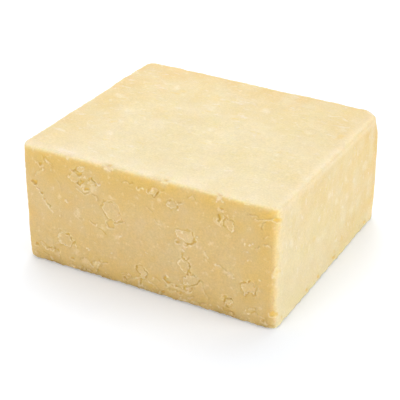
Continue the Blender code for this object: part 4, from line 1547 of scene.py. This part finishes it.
@dataclass(frozen=True)
class CheeseFinish:
    """Cheddar: pale and smooth where cut, deeper and matt where torn, golden in its gaps, with painted golden
    shading and painted highlights towards its edges.
    """

    name: str = "cheddar"
    cut: Colour = (0.713, 0.596, 0.344)
    cut_golden: Colour = (0.699, 0.574, 0.304)
    cut_fleck: Colour = (0.800, 0.700, 0.500)
    torn: Colour = (0.672, 0.476, 0.202)
    torn_golden: Colour = (0.680, 0.462, 0.168)
    torn_grey: Colour = (0.662, 0.489, 0.232)
    torn_fleck: Colour = (0.850, 0.700, 0.440)
    # Painted shading: deeper gold towards the edges, where light scatters through the curd and falls away,
    # and along the foot, where shade falls.
    painted_edge_shading: Colour = (0.693, 0.452, 0.114)
    gold: Colour = (0.740, 0.500, 0.105)
    # Painted shade in gaps, creases and pit walls, and along the foot and some edges.
    painted_shade: Colour = (0.240, 0.138, 0.030)
    # Painted highlight along the edges and in the nicks of the front top edge.
    painted_edge_highlight: Colour = (0.800, 0.670, 0.410)
    # Painted light: how much more of each colour comes back where light shines through an edge, and along the
    # foot of the right end.
    painted_light_gain: Colour = (0.08, 0.11, 0.04)
    # Patterns of the colour, and how each is taken to a share of a tint.
    broad: Pattern = Pattern(60.0)
    broad_share: Place = (0.35, 0.65)
    drift: Pattern = Pattern(140.0, 3.0, 0.55, moved=(0.37, 0.11, 0.23))
    drift_cut: Ease = (0.42, 0.70, 0.0, 0.18)
    drift_torn: Ease = (0.42, 0.72, 0.0, 0.70)
    flecks: Pattern = Pattern(420.0, 3.0, 0.60, moved=(0.71, 0.53, 0.17))
    fleck_share: Ease = (0.56, 0.74, 0.0, 0.35)
    specks: Pattern = Pattern(1500.0, 1.0, moved=(0.13, 0.67, 0.41))
    speck_share: Ease = (0.36, 0.58, 0.65, 1.0)
    # Smears that the knife draws out on the cut sides: pattern, tint and strongest share of each.
    smears: tuple[tuple[Pattern, Colour, float], ...] = (
        (Pattern(400.0, 3.0, 0.65, 0.6, (0.31, 0.17, 0.59)), (0.765, 0.662, 0.510), 0.65),
        (Pattern(400.0, 3.0, 0.65, 0.6, (0.83, 0.29, 0.07)), (0.710, 0.558, 0.190), 0.50),
    )
    smear_stretch: Colour = (0.50, 1.0, 0.60)
    smear_share: Place = (0.60, 0.66)
    smear_patches: Ease = (0.38, 0.60, 0.25, 1.0)
    # Fine mottling: scale, and how much the lightness and the yellowness change.
    mottles: tuple[tuple[float, float, float], ...] = (
        (1700.0, 0.27, 0.05), (500.0, 0.05, 0.12), (150.0, 0.05, 0.16),
    )
    lightness_moved: Colour = (0.2, 0.4, 0.9)
    yellowness_moved: Colour = (0.6, 0.4, 0.9)
    yellowness: Colour = (-0.12, 0.0, 1.0)
    mottle_cut: float = 0.98
    mottle_torn: float = 0.05
    sheen: Pattern = Pattern(160.0, 3.0, 0.60)
    sheen_roughness: Ease = (0.3, 0.7, 0.40, 0.56)
    torn_rougher: float = 0.14
    grain: Pattern = Pattern(1500.0, 4.0, 0.60)
    grain_depth: float = 0.00012
    grain_cut: float = 0.15
    grain_torn: float = 0.55
    subsurface: float = 0.35
    subsurface_radius: Colour = (1.0, 0.55, 0.18)
    subsurface_scale: float = 0.005
    ior: float = 1.45

    def build(self) -> bpy.types.Material:
        """Build the material.

        Returns:
            The material, which reads Object coordinates and the skin's attributes.
        """
        material = bpy.data.materials.new(self.name)
        material.use_nodes = True
        graph = Graph(material.node_tree)
        shader = material.node_tree.nodes["Principled BSDF"]
        place = graph.node("ShaderNodeTexCoord").outputs["Object"]
        torn = graph.attribute("torn")
        graph.feed(shader.inputs["Base Color"], self.colour(graph, place, torn))
        graph.feed(shader.inputs["Roughness"], self.roughness(graph, place, torn))
        graph.feed(shader.inputs["Normal"], self.bump(graph, place, torn))
        shader.inputs["IOR"].default_value = self.ior
        shader.inputs["Subsurface Weight"].default_value = self.subsurface
        shader.inputs["Subsurface Radius"].default_value = self.subsurface_radius
        shader.inputs["Subsurface Scale"].default_value = self.subsurface_scale
        return material

    def colour(self, graph: Graph, place: Socket, torn: Socket) -> Socket:
        """Colour of the curd.

        Args:
            graph: The material's tree.
            place: Object coordinates.
            torn: 1 on the torn sides, 0 on the cut ones.

        Returns:
            The colour socket.
        """
        broad, drift = graph.wave(place, self.broad), graph.wave(place, self.drift)
        cut = graph.mix(graph.ease(broad, *self.broad_share), self.cut_golden, self.cut)
        cut = graph.mix(graph.ease(drift, *self.drift_cut), cut, self.cut_fleck)
        rough = graph.mix(graph.ease(broad, *self.broad_share), self.torn, self.torn_grey)
        rough = graph.mix(graph.ease(drift, *self.drift_torn), rough, self.torn_golden)
        curd = graph.mix(torn, cut, rough)
        # Painted golden shading towards the edges and along the foot.
        curd = graph.mix(graph.attribute("painted_edge_shading"), curd, self.painted_edge_shading)
        fleck = graph.mix(torn, self.cut_fleck, self.torn_fleck)
        curd = graph.mix(graph.ease(graph.wave(place, self.flecks), *self.fleck_share), curd, fleck)
        curd = self.smeared(graph, place, curd, torn, drift)
        # Painted highlight along the edges and in the nicks.
        curd = graph.mix(graph.attribute("painted_edge_highlight"), curd, self.painted_edge_highlight)
        # Pale flecks of the torn curd, and painted highlight towards the edges, both broken into specks.
        dotted = graph.ease(graph.wave(place, self.specks), *self.speck_share)
        curd = graph.mix(graph.math("MULTIPLY", graph.attribute("pale"), dotted), curd, fleck)
        curd = graph.mix(graph.attribute("gold"), curd, self.gold)
        # Painted shade in gaps, creases and pit walls, and along the foot and some edges.
        curd = graph.mix(graph.attribute("painted_shade"), curd, self.painted_shade)
        # Painted light at some edges and along the foot of the right end.
        lift = graph.scaled(self.painted_light_gain, graph.attribute("bright"))
        curd = graph.vector_math("MULTIPLY", curd, graph.vector_math("ADD", lift, WHITE))
        return self.mottled(graph, place, curd, torn)

    def smeared(self, graph: Graph, place: Socket, colour: Socket, torn: Socket, drift: Socket) -> Socket:
        """Pale and golden smears along the cut sides, where the knife has drawn the curd out.

        Args:
            graph: The material's tree.
            place: Object coordinates.
            colour: Colour to change.
            torn: 1 on the torn sides, which have none.
            drift: Broad noise that gathers the smears in patches.

        Returns:
            The changed colour.
        """
        drawn = graph.vector_math("MULTIPLY", place, self.smear_stretch)
        cut = graph.math("SUBTRACT", 1.0, torn)
        patches = graph.math("MULTIPLY", cut, graph.ease(drift, *self.smear_patches))
        for pattern, tint, strongest in self.smears:
            share = graph.ease(graph.wave(drawn, pattern), *self.smear_share, 0.0, strongest)
            colour = graph.mix(graph.math("MULTIPLY", share, patches), colour, tint)
        return colour

    def mottled(self, graph: Graph, place: Socket, colour: Socket, torn: Socket) -> Socket:
        """Small uneven changes of the colour's lightness and yellowness.

        Args:
            graph: The material's tree.
            place: Object coordinates.
            colour: Colour to change.
            torn: 1 on the torn sides, where the changes are a little stronger.

        Returns:
            The changed colour.
        """
        strength = graph.math("MULTIPLY_ADD", torn, self.mottle_torn, self.mottle_cut)
        for scale, lightness, yellowness in self.mottles:
            for moved, amount, way in ((self.lightness_moved, lightness, WHITE),
                                       (self.yellowness_moved, yellowness, self.yellowness)):
                wave = graph.wave(place, Pattern(scale, 1.0, moved=moved))
                centred = graph.math("MULTIPLY_ADD", wave, amount, -amount / 2.0)
                change = graph.math("MULTIPLY", centred, strength)
                factor = graph.vector_math("ADD", graph.scaled(way, change), WHITE)
                colour = graph.vector_math("MULTIPLY", colour, factor)
        return colour

    def roughness(self, graph: Graph, place: Socket, torn: Socket) -> Socket:
        """Roughness: a waxy sheen on the cut sides, matt curd on the torn ones.

        Args:
            graph: The material's tree.
            place: Object coordinates.
            torn: 1 on the torn sides, 0 on the cut ones.

        Returns:
            The roughness.
        """
        waxy = graph.ease(graph.wave(place, self.sheen), *self.sheen_roughness)
        return graph.math("MULTIPLY_ADD", torn, self.torn_rougher, waxy)

    def bump(self, graph: Graph, place: Socket, torn: Socket) -> Socket:
        """Grain finer than the mesh, stronger on the torn sides.

        Args:
            graph: The material's tree.
            place: Object coordinates.
            torn: 1 on the torn sides, 0 on the cut ones.

        Returns:
            The bumped normal.
        """
        made = graph.fed("ShaderNodeBump", {
            "Distance": self.grain_depth,
            "Strength": graph.math("MULTIPLY_ADD", torn, self.grain_torn, self.grain_cut),
            "Height": graph.wave(place, self.grain),
        })
        return made.outputs["Normal"]


# Crumbs are a little paler than the curd that they broke from.
CRUMB_FINISH = CheeseFinish(
    name="curd_crumb",
    subsurface=0.0,
    torn=(0.78, 0.60, 0.30),
    torn_grey=(0.80, 0.63, 0.34),
    torn_golden=(0.78, 0.58, 0.24),
)


def started_tree(name: str, numbers: tuple[str, ...], whole_numbers: tuple[str, ...] = ()) -> Graph:
    """Start a Geometry Nodes tree that takes geometry, named numbers and a material, and gives geometry.

    Args:
        name: Name of the tree.
        numbers: Names of its inputs that are numbers.
        whole_numbers: Names of those that are whole numbers.

    Returns:
        The tree's graph.
    """
    tree = bpy.data.node_groups.new(name, "GeometryNodeTree")
    sockets = [("Geometry", "Geometry"), *((label, "Float") for label in numbers),
               *((label, "Int") for label in whole_numbers), ("Material", "Material")]
    for label, kind in sockets:
        tree.interface.new_socket(label, in_out="INPUT", socket_type=f"NodeSocket{kind}")
    tree.interface.new_socket("Geometry", in_out="OUTPUT", socket_type="NodeSocketGeometry")
    return Graph(tree)


@dataclass(frozen=True)
class CurdGrain:
    """Fine grain of the curd, laid over the skin by Geometry Nodes. Sizes are in metres."""

    name: str = "curd_grain"
    grain_size: float = 0.0016
    grain_depth: float = 0.00007
    fine_size: float = 0.0006
    fine_depth: float = 0.000025
    attribute: str = "grain"

    def inputs(self, material: bpy.types.Material) -> dict[str, object]:
        """Value of each of the tree's inputs."""
        return {"Grain Size": self.grain_size, "Grain Depth": self.grain_depth, "Fine Size": self.fine_size,
                "Fine Depth": self.fine_depth, "Material": material}

    def tree(self) -> bpy.types.GeometryNodeTree:
        """Build the tree.

        Returns:
            A tree that moves the skin along its normals by two noises, as far as its grain attribute allows.
        """
        graph = started_tree(self.name, ("Grain Size", "Grain Depth", "Fine Size", "Fine Depth"))
        start = graph.node("NodeGroupInput").outputs
        place = graph.node("GeometryNodeInputPosition").outputs[0]
        heights = []
        for size, depth in (("Grain Size", "Grain Depth"), ("Fine Size", "Fine Depth")):
            wave = graph.wave(place, Pattern(1.0, 1.0), graph.math("DIVIDE", 1.0, start[size]))
            centred = graph.math("MULTIPLY_ADD", wave, 2.0, -1.0)
            heights.append(graph.math("MULTIPLY", centred, start[depth]))
        height = graph.math("MULTIPLY", graph.math("ADD", *heights), graph.held(self.attribute))
        normal = graph.node("GeometryNodeInputNormal").outputs[0]
        moved = graph.fed("GeometryNodeSetPosition", {
            "Geometry": start["Geometry"], "Offset": graph.scaled(normal, height),
        })
        finish_tree(graph, moved.outputs[0], start["Material"], smooth=True)
        return graph.tree


@dataclass(frozen=True)
class CurdChips:
    """Crumbs of pale curd that cling to the torn sides, scattered by Geometry Nodes. Sizes are in metres."""

    name: str = "curd_chips"
    per_square_metre: float = 2200000.0
    smallest: float = 0.00013
    largest: float = 0.00032
    # Length of a crumb for each unit of its width, and its thickness.
    longest: Place = (0.8, 1.9)
    flatness: float = 0.70
    ragged: float = 0.00016
    ragged_pattern: Pattern = Pattern(2600.0, 0.0)
    seed: int = 7
    attribute: str = "crumbly"

    def inputs(self, material: bpy.types.Material) -> dict[str, object]:
        """Value of each of the tree's inputs.

        Args:
            material: The material that the crumbs take.

        Returns:
            Input name and its value.
        """
        return {"Chips per Square Metre": self.per_square_metre, "Smallest": self.smallest,
                "Largest": self.largest, "Flatness": self.flatness, "Ragged": self.ragged, "Seed": self.seed,
                "Material": material}

    def tree(self) -> bpy.types.GeometryNodeTree:
        """Build the tree.

        Returns:
            A tree that gives the crumbs alone, scattered where the skin's crumbly attribute allows.
        """
        numbers = "Chips per Square Metre", "Smallest", "Largest", "Flatness", "Ragged"
        graph = started_tree(self.name, numbers, ("Seed",))
        start = graph.node("NodeGroupInput").outputs
        spread = graph.fed("GeometryNodeDistributePointsOnFaces", {
            "Mesh": start["Geometry"], "Seed": start["Seed"],
            "Density": graph.math("MULTIPLY", graph.held(self.attribute), start["Chips per Square Metre"]),
        }, distribute_method="RANDOM")
        crumb = graph.fed("GeometryNodeMeshIcoSphere", {"Radius": 1.0, "Subdivisions": 1})
        placed = graph.fed("GeometryNodeInstanceOnPoints", {
            "Points": spread.outputs["Points"], "Instance": crumb.outputs["Mesh"],
            "Rotation": spread.outputs["Rotation"], "Scale": self.crumb_size(graph, start),
        })
        about = graph.fed("ShaderNodeCombineXYZ", {
            "Z": graph.random(0.0, math.tau, graph.math("ADD", start["Seed"], 2.0)),
        })
        turned = graph.fed("GeometryNodeRotateInstances", {
            "Instances": placed.outputs["Instances"], "Rotation": about.outputs[0],
        })
        real = graph.fed("GeometryNodeRealizeInstances", {"Geometry": turned.outputs[0]})
        place = graph.node("GeometryNodeInputPosition").outputs[0]
        wave = graph.noise(place, self.ragged_pattern).outputs["Color"]
        centred = graph.vector_math("SUBTRACT", wave, MID_GREY)
        moved = graph.fed("GeometryNodeSetPosition", {
            "Geometry": real.outputs[0], "Offset": graph.scaled(centred, start["Ragged"]),
        })
        finish_tree(graph, moved.outputs[0], start["Material"], smooth=False)
        return graph.tree

    def crumb_size(self, graph: Graph, start: bpy.types.NodeOutputs) -> Socket:
        """Length, width and thickness of every crumb.

        Args:
            graph: The tree.
            start: The tree's inputs.

        Returns:
            The three as a vector.
        """
        size = graph.random(start["Smallest"], start["Largest"], start["Seed"])
        longest = graph.random(*self.longest, graph.math("ADD", start["Seed"], 1.0))
        return graph.fed("ShaderNodeCombineXYZ", {
            "X": graph.math("MULTIPLY", size, longest), "Y": size,
            "Z": graph.math("MULTIPLY", size, start["Flatness"]),
        }).outputs[0]


def finish_tree(graph: Graph, geometry: Socket, material: Socket, smooth: bool) -> None:
    """End a tree: shading, instances realised, material set.

    Args:
        graph: The tree.
        geometry: What it has made.
        material: The material to set.
        smooth: Whether the faces are shaded smooth, or flat.
    """
    shaded = graph.fed("GeometryNodeSetShadeSmooth", {"Shade Smooth": smooth, "Geometry": geometry})
    real = graph.fed("GeometryNodeRealizeInstances", {"Geometry": shaded.outputs[0]})
    dressed = graph.fed("GeometryNodeSetMaterial", {"Geometry": real.outputs[0], "Material": material})
    graph.feed(graph.node("NodeGroupOutput").inputs[0], dressed.outputs[0])


def made_by_nodes(source: bpy.types.Object, tree: bpy.types.GeometryNodeTree, name: str,
                  inputs: dict[str, object]) -> bpy.types.Object:
    """Run a Geometry Nodes tree on an object and keep the result as a plain mesh.

    Args:
        source: Object that the tree starts from.
        tree: The tree.
        name: Name of the new object.
        inputs: Value of each named input.

    Returns:
        The new object, at the origin.
    """
    modifier = source.modifiers.new(tree.name, "NODES")
    modifier.node_group = tree
    for item in tree.interface.items_tree:
        if item.item_type == "SOCKET" and item.in_out == "INPUT" and item.name in inputs:
            modifier[item.identifier] = inputs[item.name]
    evaluated = source.evaluated_get(bpy.context.evaluated_depsgraph_get())
    mesh = bpy.data.meshes.new_from_object(evaluated)
    source.modifiers.remove(modifier)
    mesh.name = name
    made = bpy.data.objects.new(name, mesh)
    bpy.context.scene.collection.objects.link(made)
    return made


@dataclass
class CheddarBlock:
    """The block itself: its torn and cut skin, and the crumbs that cling to it."""

    form: BlockForm
    finish: CheeseFinish
    crumb_finish: CheeseFinish
    grain: CurdGrain
    chips: CurdChips
    name: str = "cheddar_skin"
    plain_name: str = "plain_skin"
    # Strength of the grain on the cut sides, against 1 on the torn ones.
    cut_grain: float = 0.20
    # Heights between which the grain and the crumbs set in above the underside.
    clear_from: Place = (0.3, 1.5)
    # How strongly the nicks in the front top edge take the painted highlight.
    nick_painted_highlight: float = 1.2
    foot_crumbs: float = 0.80
    foot_reach: float = 1.9
    # How patchy the painted edge light and shade are: their mean, how much they vary, and over what distance.
    patchy_mean: float = 0.75
    patchy: float = 0.5
    patches: LatticeNoise = LatticeNoise(31, 5.0)
    torn_from: Place = (0.50, 0.74)
    torn_wander: float = 0.22
    wander: LatticeNoise = LatticeNoise(32, 3.5)

    def build(self) -> list[bpy.types.Object]:
        """Make the skin and the crumbs.

        Returns:
            The finished pieces.
        """
        plain = self.plain_skin()
        skin_inputs = self.grain.inputs(self.finish.build())
        skin = made_by_nodes(plain, self.grain.tree(), self.name, skin_inputs)
        crumb_inputs = self.chips.inputs(self.crumb_finish.build())
        crumbs = made_by_nodes(skin, self.chips.tree(), self.chips.name, crumb_inputs)
        bpy.data.objects.remove(plain)
        return [skin, crumbs]

    def plain_skin(self) -> bpy.types.Object:
        """Skin without its finest grain.

        Returns:
            An object with the attributes that the trees and the material read.
        """
        points, faces = GradedBox(self.form).refined()
        finished, normals, marks = self.form.shape(points)
        mesh = bpy.data.meshes.new(self.plain_name)
        mesh.from_pydata((finished * MM).tolist(), [], faces.tolist())
        for name, values in self.attributes(points, normals, marks).items():
            attribute = mesh.attributes.new(name, "FLOAT", "POINT")
            attribute.data.foreach_set("value", values.astype(np.float32))
        mesh.update()
        skin = bpy.data.objects.new(self.plain_name, mesh)
        bpy.context.scene.collection.objects.link(skin)
        return skin

    def attributes(self, points: Array, normals: Array, marks: Mark) -> dict[str, Array]:
        """Values that the material and the trees read.

        Args:
            points: Points on the plain box.
            normals: Normals of the rounded box.
            marks: What the tears do there.

        Returns:
            Attribute name and its value at every point.
        """
        outward = np.max([normals[:, side.axis] * side.way for side in TORN_SIDES], axis=0)
        torn = smooth_step(*self.torn_from, outward + self.torn_wander * self.wander.at(points))
        clear = smooth_step(*self.clear_from, points[:, 2])
        patchy = np.clip(self.patchy_mean + self.patchy * self.patches.at(points), 0.0, 1.0)
        painted_edge_shading, painted_band_highlight, painted_shade, bright = np.zeros((4, len(points)))
        # Painted light and shade towards the edges, patchy along them.
        for tint in EDGE_TINTS:
            near = np.exp(-((distance_to(points, tint.toward) / tint.width) ** 2))
            near = near * patchy * self.form.facing(normals, tint.side)
            painted_edge_shading = 1.0 - (1.0 - painted_edge_shading) * (1.0 - tint.painted_edge_shading * near)
            painted_band_highlight = np.maximum(painted_band_highlight, tint.pale * near)
            painted_shade = painted_shade + tint.painted_shade * near
            bright = bright + tint.bright * near
        foot = self.foot_crumbs * np.exp(-((points[:, 2] / self.foot_reach) ** 2))
        # Painted highlight where two sides meet, and in the nicks of the front top edge.
        painted_edge_highlight = np.zeros(len(points))
        for first, second, width, strength in PAINTED_HIGHLIGHT_EDGES:
            reach = (distance_to(points, first) + distance_to(points, second)) / width
            painted_edge_highlight = np.maximum(painted_edge_highlight, strength * np.exp(-(reach**2)))
        nicked = -self.nick_painted_highlight * self.form.nick_relief(points, normals)
        painted_edge_highlight = np.maximum(painted_edge_highlight, np.clip(nicked, 0.0, 1.0))
        return {
            "torn": torn,
            "gold": np.clip(marks.gold, 0.0, 1.0),
            # Pale flecks of the curd, and painted highlight towards the edges.
            "pale": np.clip(np.maximum(marks.pale, painted_band_highlight), 0.0, 1.0),
            # Painted highlight along the edges and in the nicks.
            "painted_edge_highlight": painted_edge_highlight,
            # Painted golden shading towards the edges and along the foot.
            "painted_edge_shading": np.clip(painted_edge_shading, 0.0, 1.0),
            # Painted shade in gaps, creases and pit walls, and along the foot and some edges.
            "painted_shade": np.clip(painted_shade + marks.painted_shade, 0.0, 1.0),
            # Painted light at some edges and along the foot of the right end.
            "bright": np.clip(bright, 0.0, 1.0),
            "grain": (self.cut_grain + (1.0 - self.cut_grain) * torn) * clear,
            "crumbly": torn * clear * (foot + np.clip(marks.crumbs, 0.0, 1.0) ** 2),
        }


@dataclass(frozen=True)
class Studio:
    """Plain pale floor, soft lights and the camera. Lengths are in metres."""

    floor_half: float = 1.6
    floor_colour: Colour = (0.93, 0.94, 0.95)
    floor_glow: Colour = (0.055, 0.080, 0.125)
    # Where the floor's own light starts to rise, and where it is full.
    far_floor: Place = (0.35, 0.80)
    # Soft boxes: name, place and power in watts.
    boxes: tuple[tuple[str, Colour, float], ...] = (
        ("above", (0.0, 0.0, 0.8), 1.78),
        ("behind", (0.0, 0.5, 0.6), 1.9),
        ("behind_left", (-0.4, 0.45, 0.5), 2.5),
        ("right", (0.75, 0.0, 0.35), 4.6),
        ("front", (-0.1, -0.8, 0.35), 3.92),
        ("left", (-0.75, 0.0, 0.35), 2.0),
    )
    box_size: float = 0.6
    # Light from all round, which the camera sees as white.
    sky: float = 0.02
    floor_roughness: float = 0.9
    # Camera: its lens, where it looks from in degrees and metres, and how far its aim is moved.
    focal_length: float = 105.84
    sensor_width: float = 36.0
    azimuth: float = 28.649
    elevation: float = 28.722
    distance: float = 0.44281
    aim_across: float = -0.002426
    aim_up: float = 0.013066

    def build(self) -> None:
        """Make the floor, the lights and the camera."""
        self.add_floor()
        self.add_sky()
        for name, place, power in self.boxes:
            self.add_light(name, place, power)
        self.add_camera()

    def add_floor(self) -> None:
        """Add the floor, a level sheet that isn't part of the object."""
        half = self.floor_half
        mesh = bpy.data.meshes.new("floor")
        corners = [(x * half, y * half, 0.0) for x, y in ((-1, -1), (1, -1), (1, 1), (-1, 1))]
        mesh.from_pydata(corners, [], [(0, 1, 2, 3)])
        material = bpy.data.materials.new("pale_floor")
        material.use_nodes = True
        shader = material.node_tree.nodes["Principled BSDF"]
        shader.inputs["Base Color"].default_value = (*self.floor_colour, 1.0)
        graph = Graph(material.node_tree)
        place = graph.node("ShaderNodeTexCoord").outputs["Object"]
        length = graph.fed("ShaderNodeVectorMath", {"Vector": place}, operation="LENGTH")
        far = graph.ease(length.outputs["Value"], *self.far_floor)
        graph.feed(shader.inputs["Emission Color"], graph.mix(far, self.floor_glow, WHITE))
        shader.inputs["Emission Strength"].default_value = 1.0
        shader.inputs["Roughness"].default_value = self.floor_roughness
        shader.inputs["Specular IOR Level"].default_value = 0.0
        mesh.materials.append(material)
        floor = bpy.data.objects.new("floor", mesh)
        bpy.context.scene.collection.objects.link(floor)

    def add_sky(self) -> None:
        """Light everything evenly from all round."""
        world = bpy.data.worlds.new("soft_sky")
        world.use_nodes = True
        background = world.node_tree.nodes["Background"]
        background.inputs["Color"].default_value = (*WHITE, 1.0)
        graph = Graph(world.node_tree)
        seen = graph.node("ShaderNodeLightPath").outputs["Is Camera Ray"]
        graph.feed(background.inputs["Strength"], graph.ease(seen, 0.0, 1.0, self.sky, 1.0))
        bpy.context.scene.world = world

    def add_light(self, name: str, place: Colour, power: float) -> None:
        """Add a square light that points at the block.

        Args:
            name: Name of the light.
            place: Where it hangs.
            power: Its power in watts.
        """
        light = bpy.data.lights.new(name, "AREA")
        light.shape = "SQUARE"
        light.size = self.box_size
        light.energy = power
        lamp = bpy.data.objects.new(name, light)
        lamp.location = place
        aim = Vector((0.0, 0.0, HEIGHT * MM / 2.0)) - lamp.location
        lamp.rotation_euler = aim.to_track_quat("-Z", "Y").to_euler()
        bpy.context.scene.collection.objects.link(lamp)

    def add_camera(self) -> None:
        """Add the camera where the photograph was taken from, and view plain colours."""
        azimuth, elevation = math.radians(self.azimuth), math.radians(self.elevation)
        level = math.cos(elevation)
        back = Vector((math.sin(azimuth) * level, -math.cos(azimuth) * level, math.sin(elevation)))
        right = Vector((math.cos(azimuth), math.sin(azimuth), 0.0))
        up = back.cross(right)
        data = bpy.data.cameras.new("camera")
        data.lens = self.focal_length
        data.sensor_width = self.sensor_width
        camera = bpy.data.objects.new("camera", data)
        camera.location = back * self.distance + right * self.aim_across + up * self.aim_up
        camera.rotation_euler = Euler((math.pi / 2.0 - elevation, 0.0, azimuth))
        bpy.context.scene.collection.objects.link(camera)
        bpy.context.scene.camera = camera
        bpy.context.scene.view_settings.view_transform = "Standard"


def main() -> None:
    """Build the block and the studio, and report each piece."""
    logging.basicConfig(level=logging.INFO, format="%(message)s")
    block = CheddarBlock(BlockForm(), CheeseFinish(), CRUMB_FINISH, CurdGrain(), CurdChips())
    for piece in block.build():
        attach(piece, BODY_NAME)
        LOG.info("%s: %d faces", piece.name, len(piece.data.polygons))
        if piece.name == block.name:
            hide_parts(NODE_NAME)
    Studio().build()
    LOG.info("studio built")


if __name__ == "__main__":
    main()
